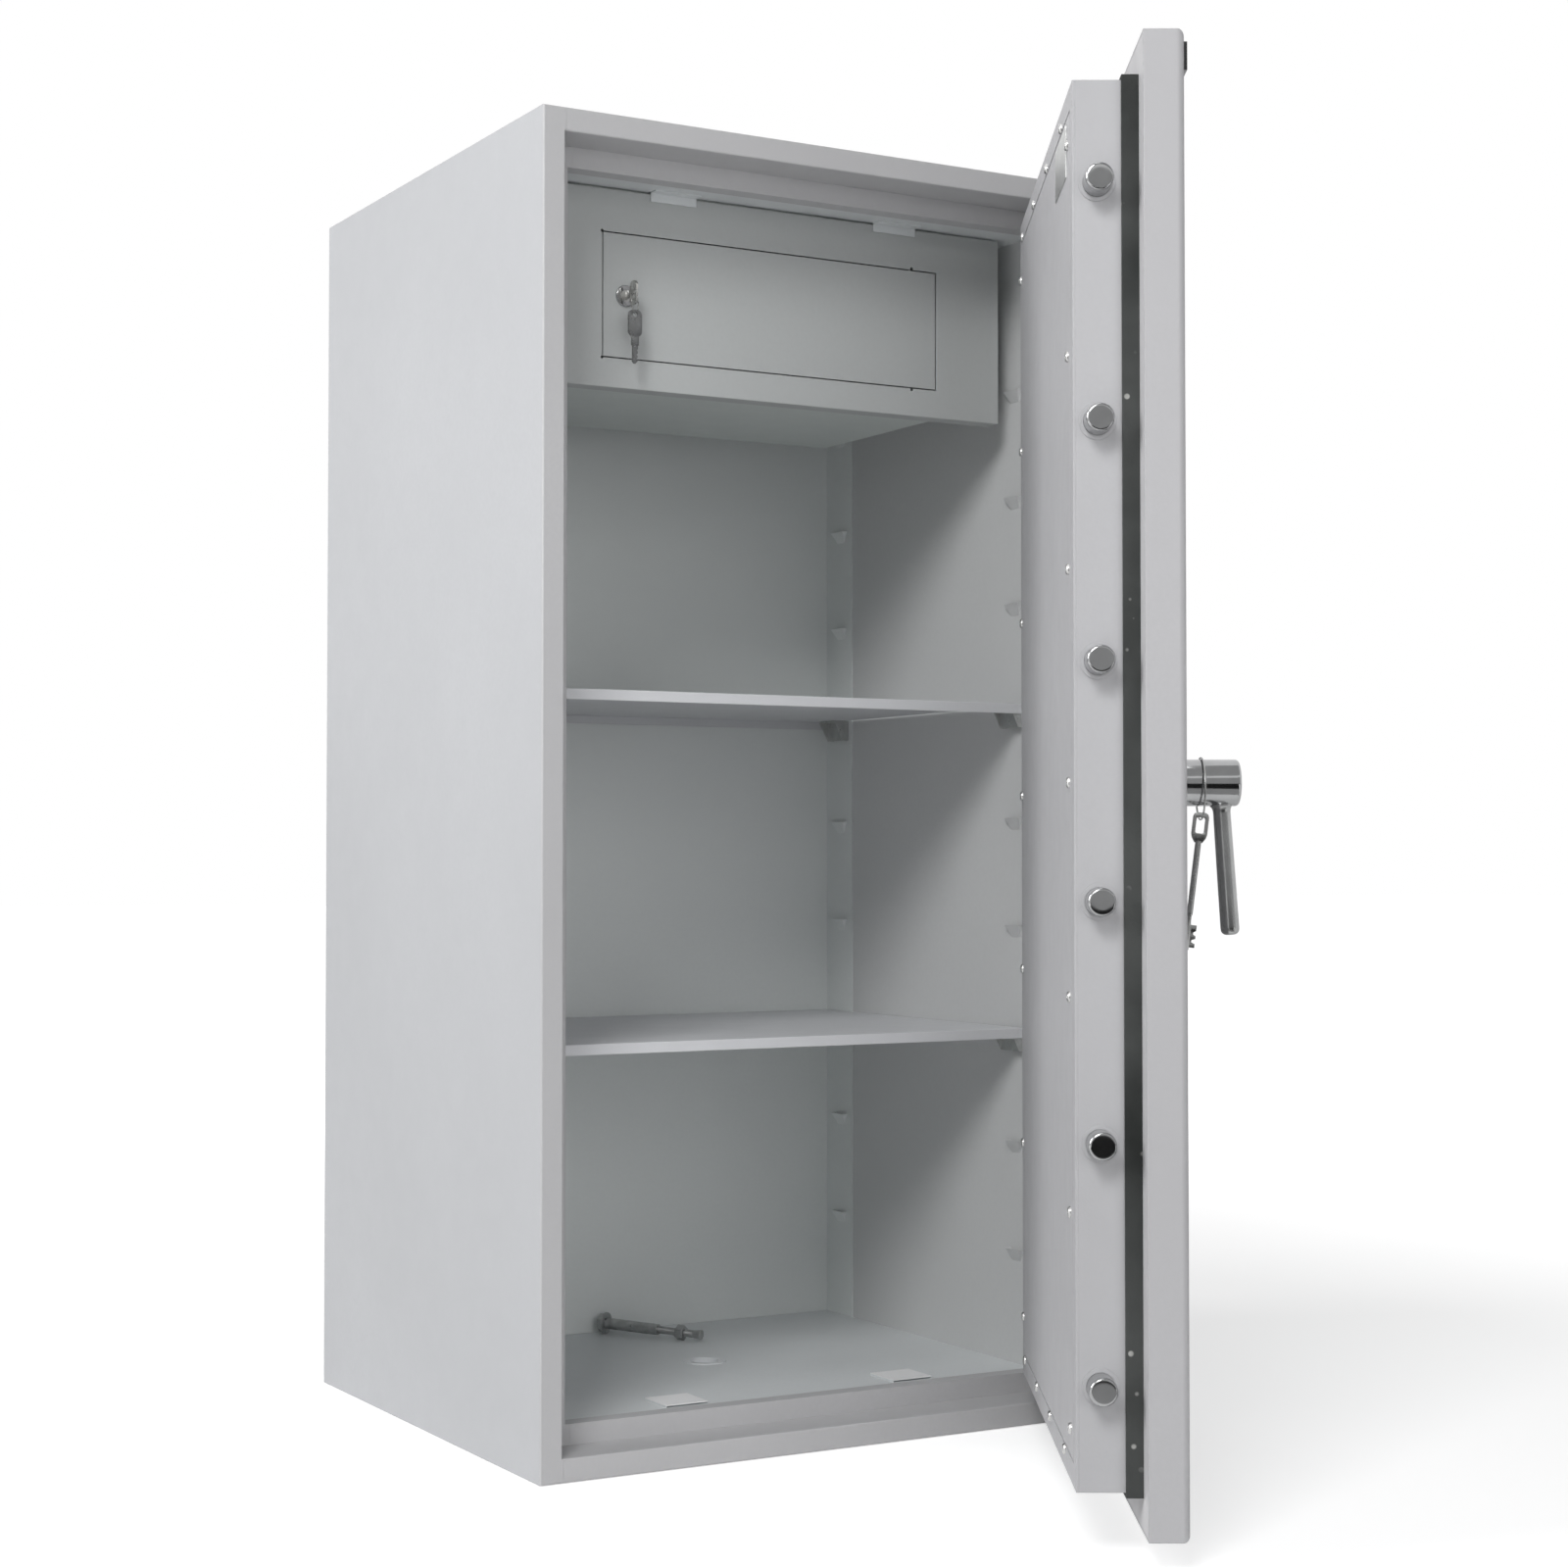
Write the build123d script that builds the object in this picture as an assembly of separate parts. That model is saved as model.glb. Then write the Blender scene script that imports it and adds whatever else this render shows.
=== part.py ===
from build123d import *
import math
import os

# Fireproof safe with a hinged door, two shelves and a small lockable compartment.
# Millimetres. +Z is up, +Y points to the back, +X to the hinge side of the door.
# The origin is the centre of the underside, so the front plane is at -body_d / 2.

os.makedirs("parts", exist_ok=True)

# Body
body_w = 620.0
body_d = 545.0
body_h = 1200.0
casing_t = 2.0
base_t = 3.0
back_corner_r = 10.0
wall_side = 43.0
wall_end = 34.0
wall_back = 57.0
liner_t = 1.5

# Front frame
rim_w = 21.0
ledge_depth = 46.5
frame_t = 2.0
frame_edge_r = 1.5
lip_side_w = 24.0
lip_end_w = 19.0
lip_return = 18.0
rim_corner = 1.0
rail_corner = 5.0
cut_past = 1.0
strike_t = 3.0
strike_depth = 35.0
strike_margin = 60.0
keeper_gap = 1.5
keeper_room_gap = 0.5
keeper_room_past = 3.0

# Liner details
back_return = 54.0
pocket_w = 25.0
pocket_foot_w = 14.0
pocket_h = 12.0
pocket_depth = 6.0
pocket_t = 1.2
pocket_foot_d = 0.4
pocket_floor = 3.0
pocket_rows = 9
pocket_pitch = 108.3
pocket_first_z = 142.9
pocket_front_y = 115.8
pocket_back_y = 457.0
tab_w = 44.0
tab_l = 42.0
tab_rise = 2.5
tab_t = 1.2
tab_front_y = 93.0
floor_tab_x = (-119.0, 128.0)
ceiling_tab_w = 48.0
ceiling_tab_drop = 9.0
ceiling_tab_gap = 0.3
ceiling_tab_root = 10.0
ceiling_tab_x = (-125.0, 120.0)

# Floor anchor
anchor_y = 282.0
anchor_bore_r = 8.0
anchor_tube_t = 2.0
cap_r = 21.5
cap_cup_r = 15.5
cap_cup_depth = 5.0
cap_t = 1.2
cap_edge_r = 0.4
anchor_head_x = -18.0
anchor_head_y = 472.0
anchor_turn = -54.8
anchor_len = 122.0
anchor_rod_r = 4.0
anchor_head_af = 17.0
anchor_head_h = 6.5
anchor_washer_r = 11.5
anchor_washer_t = 2.0
anchor_sleeve_r = 5.8
anchor_sleeve_l = 62.0
anchor_nut_af = 14.0
anchor_nut_l = 9.0
anchor_nut_at = 93.0
anchor_tip_l = 9.0
anchor_tip_r = 5.2
lying_gap = 0.1

# Shelves
shelf_front_y = 95.0
shelf_t = 1.5
shelf_edge_h = 10.0
shelf_side_gap = 1.5
shelf_back_gap = 2.0
shelf_bend_r = 0.8
upper_shelf_row = 5
lower_shelf_row = 2
clip_w = 33.0
clip_reach = 18.0
clip_h = 22.0
clip_t = 1.5
clip_rise = 10.2
clip_gap = 0.4
clip_hook_t = 1.4
clip_hook_bite = 3.5
clip_hook_inset = 4.0

# Locker compartment
locker_y = 112.0
locker_face_t = 1.5
locker_side_gap = 23.0
locker_low_z = 978.5
locker_top_gap = 2.3
locker_flange = 20.0
locker_bend_r = 1.0
locker_shell_left = -222.0
locker_shell_right = 178.0
locker_depth = 232.0
locker_shell_t = 1.2
locker_step_y = 3.0
locker_step_z = 2.0
locker_open_left = -198.9
locker_open_right = 169.9
locker_open_low = 1006.0
locker_open_high = 1124.2
locker_gap = 1.2
locker_door_edge = 12.0
locker_door_bend_r = 0.8
locker_relief_r = 1.5
locker_catch_gap = 1.0
locker_pivot_x = 141.1
locker_pin_r = 2.0
locker_pin_fit = 0.05
locker_pin_past = 2.0
locker_pin_head_r = 3.5
locker_pin_head_t = 2.0
locker_ear_rise = 3.5
locker_ear_w = 14.0
locker_ear_past = 6.0
locker_notch_w = 3.0
locker_notch_h = 2.5
locker_catch = 18.0
locker_screw_r = 2.5
locker_screw_bite = 12.0
locker_screw_head_t = 2.5
locker_screw_inset = 40.0
locker_screw_front = 50.0
cam_lock_x = -175.1
cam_collar_r = 10.0
cam_collar_t = 2.5
cam_collar_edge_r = 1.0
cam_barrel_r = 8.0
cam_barrel_l = 21.0
cam_nut_r = 12.0
cam_nut_t = 3.5
cam_plug_r = 5.5
cam_plug_fit = 0.05
cam_plug_sunk = 0.5
cam_stem_r = 3.5
cam_stem_past = 3.0
cam_end_nut_w = 2.0
cam_end_nut_t = 2.5
cam_reach = 33.0
cam_w = 14.0
cam_t = 2.0
cam_tip_r = 3.0
small_key_t = 2.0
small_key_blade = 7.0
small_key_bite = 12.0
small_key_overlap = 1.0
small_key_corner_r = 4.5
small_key_eye_wall = 2.0
small_key_bow_w = 14.0
small_key_bow_h = 22.6
small_key_reach = 25.0
small_key_hole_r = 2.5
small_ring_r = 9.5
small_ring_wire_r = 0.6
small_ring_turn = 45.0
small_ring_drop = 1.0
spare_bow_h = 25.0
spare_blade_l = 25.0
spare_blade_w = 5.6
spare_neck_w = 7.6
spare_neck_l = 8.0

# Door
door_angle = 60.0
door_gap = 2.5
door_t = 32.0
door_skin_t = 3.0
door_edge_r = 6.0
door_plate_t = 3.0
box_inset = 30.8
box_hinge_inset = 51.0
box_depth = 51.5
box_t = 2.0
box_flange = 25.0
box_lock_flange = 46.0
cover_t = 2.0
cover_groove_inset = 18.0
cover_groove_w = 2.0
cover_groove_depth = 1.0
seal_w = 3.5
seal_h = 13.5
cover_screw_r = 4.5
cover_screw_h = 2.6
cover_screw_crown = 0.7
cover_shank_r = 2.0
cover_lock_inset = 36.3
cover_hinge_inset = 10.5
cover_end_inset = 15.7
cover_lock_pitch = 168.0
cover_hinge_pitch = 164.0
cover_row_first = 83.7
cover_row_pitch = 127.0

# Hinges
hinge_inset = 16.0
hinge_out = 8.5
hinge_r = 8.0
hinge_pin_r = 5.0
hinge_fit = 0.05
hinge_knuckle_h = 40.0
hinge_washer_t = 1.5
hinge_washer_inset = 0.5
hinge_cap_gap = 0.3
hinge_leaf_t = 3.0
hinge_leaf_inner = 1.0
hinge_leaf_outer = 2.0
hinge_strap_t = 5.0
hinge_strap_l = 98.0
hinge_strap_relief = 1.5
hinge_cap_r = 6.5
hinge_cap_t = 2.5
hinge_from_end = 160.0

# Bolt work, as it stands with the bolts thrown
bolt_count = 6
bolt_pitch = 186.0
bolt_r = 11.0
bolt_fit = 0.05
bolt_y_in = 64.5
bolt_throw = 23.0
bolt_tail = 59.7
bolt_nose_r = 1.0
bar_w = 40.0
bar_t = 11.0
bar_over = 25.0
bush_t = 3.0
bush_l = 11.0
bush_flange_w = 0.5
bush_flange_t = 1.0
bush_bore_past = 2.0
stud_r = 3.6
stud_fit = 0.3
stud_edge = 4.5
stud_collar_r = 7.0
stud_head_r = 8.0
stud_head_t = 3.0
stud_gap = 0.3
stud_from_middle = (-372.0, -186.0, 186.0, 372.0)
filling_gap = 8.0

# Handle and crank
handle_inset = 76.5
handle_z = 600.0
hub_r = 18.5
hub_l = 52.0
hub_edge_r = 3.5
hub_gap = 0.5
lever_out = 36.0
lever_top_r = 6.75
lever_low_r = 7.4
lever_drop = 120.0
lever_lean = 3.75
lever_end_r = 4.0
lever_root = 14.0
spindle_r = 7.0
spindle_fit = 0.05
spindle_bush_r = 10.0
spindle_collar_w = 3.0
spindle_in_hub = 24.0
crank_y_in = 50.0
crank_t = 5.0
crank_boss_r = 11.0
crank_pin_r = 4.0
crank_pin_fit = 0.7
crank_pin_l = 11.0
crank_pin_wall = 3.0
crank_arm_wall = 2.0
yoke_t = 6.0
yoke_wall = 5.0
yoke_end_gap = 1.2

# Keyhole and lock
keyhole_rise = 90.0
keyhole_r = 5.5
key_tube_r = 8.0
plate_w = 34.0
plate_h = 62.0
plate_t = 2.0
plate_rise = 3.0
plate_corner_r = 6.0
swing_cover_r = 12.0
swing_cover_t = 2.5
swing_cover_rise = 24.0
swing_cover_gap = 0.2
swing_pin_r = 2.5
swing_pin_fit = 0.05
swing_pin_head_r = 4.5
swing_pin_head_t = 1.5
case_w = 48.0
case_h = 48.0
case_depth = 18.0
case_wall = 2.0
case_above = 18.0
tongue_w = 8.0
tongue_t = 6.0
tongue_l = 37.0
tongue_out = 1.0
tongue_fit = 0.1
stop_lug_gap = 4.0
stop_lug_t = 3.0
stop_lug_foot = 15.0
stop_lug_step = 1.0
stop_lug_off = 2.0

# Door key on its ring
ring_in_r = hub_r + 5.0
ring_wire_r = 1.0
ring_gap = 0.3
ring_y_out = 21.0
key_bow_w = 12.5
key_bow_h = 24.0
key_window_w = 7.0
key_window_h = 12.5
key_hang = 0.8
key_t = 3.0
key_shank_r = 2.4
key_len = 109.0
key_lean = 7.0
key_bit_w = 13.0
key_bit_h = 18.0
key_bit_end = 2.0
key_top_wall = 4.0
key_overlap = 1.0
key_cut_h = 2.2
key_cut_pitch = 5.0
key_cut_count = 3
key_cut_first = 3.0
key_cut_shift = 1.0
key_cut_deep = 3.0
key_cut_shallow = 2.0

# Blank plates
data_plate_w = 85.0
data_plate_h = 42.0
data_plate_t = 0.8
badge_w = 60.0
badge_h = 22.0
badge_t = 3.0
badge_inset = 8.5
badge_drop = 7.5
plate_clear = 3.0

# Planes and sizes that follow from the ones above
half_w = body_w / 2
front = -body_d / 2
back = body_d / 2
rim_x = half_w - rim_w
lip_x = rim_x - lip_side_w
rim_z = rim_w
lip_z = rim_w + lip_end_w
ledge_y = front + ledge_depth
lip_back_y = ledge_y + lip_return
liner_x = half_w - wall_side
liner_low = wall_end
liner_high = body_h - wall_end
liner_y = back - wall_back
liner_front_y = ledge_y + frame_t
mid_z = body_h / 2

door_x = rim_x - door_gap
door_low = rim_z + door_gap
door_high = body_h - door_low
door_back_y = front + door_t
box_left = -door_x + box_inset
box_right = door_x - box_hinge_inset
box_low = door_low + box_inset
box_high = body_h - box_low
cover_back_y = door_back_y + box_depth
box_back_y = cover_back_y - cover_t
hinge_x = half_w - hinge_inset
hinge_y = front - hinge_out
hinge_zs = (hinge_from_end, body_h - hinge_from_end)
bolt_y = front + bolt_y_in
bolt_tip_x = box_left - bolt_throw
bar_left = box_left + bolt_tail
bar_y = bolt_y - bar_t / 2
bolt_zs = [mid_z + bolt_pitch * (i - (bolt_count - 1) / 2) for i in range(bolt_count)]
stud_zs = [mid_z + offset for offset in stud_from_middle]
stud_x = bar_left + bar_w - stud_r - stud_fit - stud_edge
keeper_r = bolt_r + keeper_gap
strike_x = liner_x + liner_t
handle_x = -door_x + handle_inset
keyhole_z = handle_z + keyhole_rise
crank_y = front + crank_y_in
crank_arm = bolt_throw / math.sqrt(2)
crank_pin_x = handle_x - bolt_throw / 2
crank_pin_z = handle_z - bolt_throw / 2
yoke_y = bar_y
pocket_zs = [pocket_first_z + pocket_pitch * i for i in range(pocket_rows)]
locker_face_y = front + locker_y
locker_back_face_y = locker_face_y + locker_face_t
locker_top_z = liner_high - locker_top_gap
locker_pivot_y = locker_face_y + locker_door_edge / 2
cam_lock_z = (locker_open_low + locker_open_high) / 2
cam_y = locker_face_y + cam_barrel_l
locker_screw_spots = [
    (x, y)
    for x in (locker_shell_left + locker_screw_inset, locker_shell_right - locker_screw_inset)
    for y in (locker_face_y + locker_screw_front, locker_face_y + locker_depth - locker_screw_inset)
]


def block(x0, x1, y0, y1, z0, z1):
    corner = (Align.MIN, Align.MIN, Align.MIN)
    return Pos(x0, y0, z0) * Box(x1 - x0, y1 - y0, z1 - z0, align=corner)


def rod(radius, length, start, direction):
    base = (Align.CENTER, Align.CENTER, Align.MIN)
    return Plane(origin=start, z_dir=direction) * Cylinder(radius, length, align=base)


def along_x(radius, y, z, x0, x1):
    return rod(radius, x1 - x0, (x0, y, z), (1, 0, 0))


def along_y(radius, x, z, y0, y1):
    return rod(radius, y1 - y0, (x, y0, z), (0, 1, 0))


def along_z(radius, x, y, z0, z1):
    return rod(radius, z1 - z0, (x, y, z0), (0, 0, 1))


def prism_y(points, y0, y1):
    # a closed outline of (x, z) points, drawn out from y0 to y1
    face = make_face(Polyline([(x, y0, z) for x, z in points], close=True))
    return extrude(face, amount=y1 - y0, dir=(0, 1, 0))


def tube_y(x, low, wall, y0, y1):
    # an upright rectangular tube, centred on x = 0 and on the middle height
    outer = block(-x, x, y0, y1, low, body_h - low)
    inner = block(-x + wall, x - wall, y0, y1, low + wall, body_h - low - wall)
    return outer - inner


def hexagon_rod(across_flats, length):
    return extrude(RegularPolygon(across_flats / math.sqrt(3), 6), amount=length)


def mirrored(shape):
    return mirror(shape, about=Plane.YZ)


def swing_open(shape):
    # the door is drawn shut and then turned about its hinge line to the shown angle
    return Pos(hinge_x, hinge_y, 0) * Rot(0, 0, door_angle) * Pos(-hinge_x, -hinge_y, 0) * shape


def save(name, *shapes):
    solids = [solid for shape in shapes for solid in shape.solids()]
    shape = solids[0] if len(solids) == 1 else Compound(children=solids)
    export_step(shape, f"parts/{name}.step")


def save_on_door(name, *shapes):
    save(name, *[swing_open(shape) for shape in shapes])


def casing_outline(inset, y0):
    # the plan of the casing, square at the front and rounded at the back
    x = half_w - inset
    y1 = back - inset
    plan = block(-x, x, y0, y1, 0, body_h)
    rounded = [e for e in plan.edges().filter_by(Axis.Z) if abs(e.center().Y - y1) < 0.1]
    return fillet(rounded, back_corner_r - inset)


def slice_z(shape, z0, z1):
    return shape & block(-half_w, half_w, front - cut_past, back + cut_past, z0, z1)


def anchor_hole(z0, z1):
    return along_z(anchor_bore_r + anchor_tube_t, 0, front + anchor_y, z0, z1)


def casing():
    outer = casing_outline(0, front + frame_t)
    inner = casing_outline(casing_t, front + frame_t)
    save("casing_wrap", outer - inner)
    top = slice_z(inner, body_h - casing_t, body_h)
    save("casing_ends", top, slice_z(inner, 0, base_t) - anchor_hole(0, base_t))


def keeper_holes(radius, x0, x1):
    return [along_x(radius, bolt_y, z, x0, x1) for z in bolt_zs]


def front_frame():
    # one folded and welded frame: rim, rebate, lip with its return and a closing fold
    rim = block(-half_w, half_w, front, front + frame_t, 0, body_h)
    rim -= block(-rim_x, rim_x, front, front + frame_t, rim_z, body_h - rim_z)
    rebate = tube_y(rim_x + frame_t, rim_z - frame_t, frame_t, front, liner_front_y)
    lip = block(-rim_x, rim_x, ledge_y, liner_front_y, rim_z, body_h - rim_z)
    lip -= block(-lip_x, lip_x, ledge_y, liner_front_y, lip_z, body_h - lip_z)
    lip_edge = tube_y(lip_x + frame_t, lip_z - frame_t, frame_t, ledge_y, lip_back_y)
    fold = block(-liner_x, liner_x, lip_back_y - frame_t, lip_back_y, liner_low, liner_high)
    fold -= block(-lip_x, lip_x, lip_back_y - frame_t, lip_back_y, lip_z, body_h - lip_z)
    frame = rim + rebate + lip + lip_edge + fold
    front_edges = [e for e in frame.edges() if abs(e.center().Y - front) < 0.01]
    frame = fillet(front_edges, frame_edge_r)
    frame -= keeper_holes(keeper_r, -liner_x - cut_past, -lip_x + cut_past)
    save("front_frame", *[frame & rail for rail in frame_rails()])


def frame_rails():
    # folded angles form the rim and the rebate, and channels welded behind them the lip;
    # the upright ones run the full height and the others are let in between them
    rails = []
    fold = (rim_x - rim_corner, front, ledge_y)
    channel = (lip_x - rail_corner, ledge_y, lip_back_y)
    for corner_x, y0, y1 in (fold, channel):
        upright = block(corner_x, half_w, y0, y1, 0, body_h)
        bottom = block(-corner_x, corner_x, y0, y1, 0, mid_z)
        rails += [upright, mirrored(upright), bottom, Pos(0, 0, mid_z) * bottom]
    return rails


def rim_filling():
    y0 = front + frame_t
    x0 = rim_x + frame_t
    x1 = half_w - casing_t
    low = rim_z - frame_t
    high = body_h - low
    right = block(x0, x1, y0, liner_front_y, low, high)
    bottom = block(-x1, x1, y0, liner_front_y, base_t, low)
    top = block(-x1, x1, y0, liner_front_y, high, body_h - casing_t)
    save("rim_filling", mirrored(right), right, bottom, top)


def insulation():
    room = casing_outline(casing_t, liner_front_y)
    side = liner_x + liner_t
    low = liner_low - liner_t
    high = liner_high + liner_t
    y1 = back - casing_t
    cup_low = liner_low - cap_cup_depth - cap_t
    cup_hole = along_z(cap_cup_r, 0, front + anchor_y, cup_low, low)
    save("insulation_bottom", slice_z(room, base_t, low) - anchor_hole(base_t, low) - cup_hole)
    screw_top = liner_high + locker_screw_bite
    screw_holes = [along_z(locker_screw_r, x, y, high, screw_top) for x, y in locker_screw_spots]
    save("insulation_top", slice_z(room, high, body_h - casing_t) - screw_holes)
    walls = slice_z(room, low, high)
    pocket_x = liner_x + liner_t + strike_t
    left = walls & block(-half_w, -side, liner_front_y, y1, low, high)
    left -= strike_block()
    left -= keeper_holes(keeper_r + keeper_room_gap, bolt_tip_x - keeper_room_past, -pocket_x)
    save("insulation_left", left)
    save("insulation_right", walls & block(side, half_w, liner_front_y, y1, low, high))
    save("insulation_back", block(-side, side, liner_y + liner_t, y1, low, high))


def strike_block():
    y1 = liner_front_y + strike_depth
    return block(-strike_x - strike_t, -strike_x, liner_front_y, y1, strike_margin, body_h - strike_margin)


def strike_strip():
    # the steel that the thrown bolts bear on, behind the lining
    save("strike_strip", strike_block() - keeper_holes(keeper_r, -strike_x - strike_t, -strike_x))


def pocket():
    # a pressed pocket, open at the top, on a wall at x = 0 with the room on its -x side
    top = pocket_h / 2
    shell = Pos(-pocket_depth / 2, 0, top) * Rectangle(pocket_depth, pocket_w)
    shell_foot = Pos(-pocket_foot_d / 2, 0, -top) * Rectangle(pocket_foot_d, pocket_foot_w)
    room_d = pocket_depth - pocket_t
    hollow = Pos(-room_d / 2, 0, top) * Rectangle(room_d, pocket_w - 2 * pocket_t)
    foot_room = pocket_foot_d / 2
    hollow_foot = Pos(-foot_room / 2, 0, pocket_floor - top)
    hollow_foot *= Rectangle(foot_room, pocket_foot_w - 2 * pocket_t)
    return loft([shell_foot, shell]) - loft([hollow_foot, hollow])


def pocket_column(wall_x, y):
    return [Pos(wall_x, y, z) * pocket() for z in pocket_zs]


def lanced_tab(x):
    # a low bridge pressed up out of the floor
    x0 = x - tab_w / 2
    x1 = x + tab_w / 2
    y0 = front + tab_front_y
    y1 = y0 + tab_l
    low = liner_low + tab_rise - tab_t
    bridge = block(x0, x1, y0, y1, low, low + tab_t)
    back_leg = block(x0, x1, y1 - tab_t, y1, liner_low, low)
    side_leg = block(x0, x0 + tab_t, y0, y1, liner_low, low)
    return bridge + back_leg + side_leg


def hanging_tab(x):
    # a strap that comes down from the ceiling just in front of the locker face
    x0 = x - ceiling_tab_w / 2
    x1 = x + ceiling_tab_w / 2
    y1 = locker_face_y - ceiling_tab_gap
    y0 = y1 - tab_t
    root = block(x0, x1, y0 - ceiling_tab_root, y0, liner_high - tab_t, liner_high)
    return root + block(x0, x1, y0, y1, liner_high - ceiling_tab_drop, liner_high)


def liner():
    x1 = liner_x + liner_t
    y1 = liner_y + liner_t
    floor = block(-x1, x1, liner_front_y, y1, liner_low - liner_t, liner_low)
    floor -= along_z(cap_cup_r, 0, front + anchor_y, liner_low - liner_t, liner_low)
    save("liner_floor", floor + [lanced_tab(x) for x in floor_tab_x])
    ceiling = block(-x1, x1, liner_front_y, y1, liner_high, liner_high + liner_t)
    for x, y in locker_screw_spots:
        ceiling -= along_z(locker_screw_r, x, y, liner_high, liner_high + liner_t)
    save("liner_ceiling", ceiling + [hanging_tab(x) for x in ceiling_tab_x])
    sheet = block(liner_x, x1, liner_front_y, y1, liner_low, liner_high)
    sheet += pocket_column(liner_x, front + pocket_front_y)
    save("liner_right", sheet)
    save("liner_left", mirrored(sheet) - keeper_holes(keeper_r, -x1, -liner_x))
    inner_x = liner_x - liner_t
    panel = block(-liner_x, liner_x, liner_y, y1, liner_low, liner_high)
    wing = block(inner_x, liner_x, liner_y - back_return, liner_y, liner_low, liner_high)
    wing += pocket_column(inner_x, front + pocket_back_y)
    save("liner_back", panel + wing + mirrored(wing))


def floor_anchor_point():
    y = front + anchor_y
    cup_low = liner_low - cap_cup_depth
    tube = along_z(anchor_bore_r + anchor_tube_t, 0, y, 0, cup_low - cap_t)
    save("anchor_tube", tube - along_z(anchor_bore_r, 0, y, 0, cup_low - cap_t))
    cap = along_z(cap_cup_r, 0, y, cup_low - cap_t, liner_low)
    cap += along_z(cap_r, 0, y, liner_low, liner_low + cap_t)
    cap -= along_z(cap_cup_r - cap_t, 0, y, cup_low, liner_low + cap_t)
    rim = [e for e in cap.edges() if abs(e.center().Z - liner_low - cap_t) < 0.01]
    save("anchor_cap", fillet(rim, cap_edge_r))


def loose_anchor():
    # lies on the floor, carried by its washer and by a corner of its nut
    nut_corner = anchor_nut_af / math.sqrt(3)
    washer_at = anchor_head_h + anchor_washer_t / 2
    nut_end = anchor_nut_at + anchor_nut_l
    tilt = math.degrees(math.asin((anchor_washer_r - nut_corner) / (nut_end - washer_at)))
    centre_z = liner_low + anchor_washer_r + lying_gap
    start = Pos(anchor_head_x, front + anchor_head_y, centre_z) * Rot(0, 0, anchor_turn)
    lie = start * Rot(0, 90 + tilt, 0) * Pos(0, 0, -washer_at)
    tip_at = anchor_len - anchor_tip_l
    head = hexagon_rod(anchor_head_af, anchor_head_h)
    shaft = along_z(anchor_rod_r, 0, 0, 0, tip_at)
    cone = Pos(0, 0, tip_at + anchor_tip_l / 2) * Cone(anchor_rod_r, anchor_tip_r, anchor_tip_l)
    bore = along_z(anchor_rod_r, 0, 0, 0, anchor_len)
    sleeve_at = anchor_head_h + anchor_washer_t
    washer = along_z(anchor_washer_r, 0, 0, anchor_head_h, sleeve_at)
    sleeve = along_z(anchor_sleeve_r, 0, 0, sleeve_at, sleeve_at + anchor_sleeve_l)
    nut = Pos(0, 0, anchor_nut_at) * hexagon_rod(anchor_nut_af, anchor_nut_l)
    save("anchor_bolt", lie * (head + shaft + cone))
    save("anchor_fittings", lie * (washer - bore), lie * (sleeve - bore), lie * (nut - bore))


def shelf(row):
    x = liner_x - liner_t - shelf_side_gap
    y0 = front + shelf_front_y
    y1 = liner_y - shelf_back_gap
    z = pocket_zs[row] + clip_rise
    low = z + shelf_t - shelf_edge_h
    board = block(-x, x, y0, y1, z, z + shelf_t)
    board += block(-x, x, y0, y0 + shelf_t, low, z)
    board += block(-x, x, y1 - shelf_t, y1, low, z)
    top = [e for e in board.edges().filter_by(Axis.X) if abs(e.center().Z - z - shelf_t) < 0.01]
    return fillet(top, shelf_bend_r)


def clip():
    # hooks into a pocket of a wall at x = 0, room on the -x side, shelf underside at z = 0
    y1 = clip_w / 2
    plate_x = -pocket_depth - clip_gap
    pocket_top = pocket_h / 2 - clip_rise
    ledge = block(-clip_reach, -clip_gap, -y1, y1, -clip_t, 0)
    plate = block(plate_x - clip_t, plate_x, -y1, y1, -clip_h, -clip_t)
    hook_y = pocket_w / 2 - clip_hook_inset
    hook_low = pocket_top - clip_hook_bite
    hook = block(-clip_gap - clip_hook_t, -clip_gap, -hook_y, hook_y, hook_low, -clip_t)
    foot_x = plate_x - clip_t
    gusset = [(-clip_reach, -clip_t), (foot_x, -clip_h), (-clip_gap, -clip_h), (-clip_gap, -clip_t)]
    first = prism_y(gusset, -y1, -y1 + clip_t)
    second = prism_y(gusset, y1 - clip_t, y1)
    return ledge + plate + hook + first + second


def shelves():
    save("upper_shelf", shelf(upper_shelf_row))
    save("lower_shelf", shelf(lower_shelf_row))
    clips = []
    for row in (upper_shelf_row, lower_shelf_row):
        z = pocket_zs[row] + clip_rise
        for x, y in ((liner_x, pocket_front_y), (liner_x - liner_t, pocket_back_y)):
            right = Pos(x, front + y, z) * clip()
            clips += [right, mirrored(right)]
    save("shelf_clips", *clips)


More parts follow.
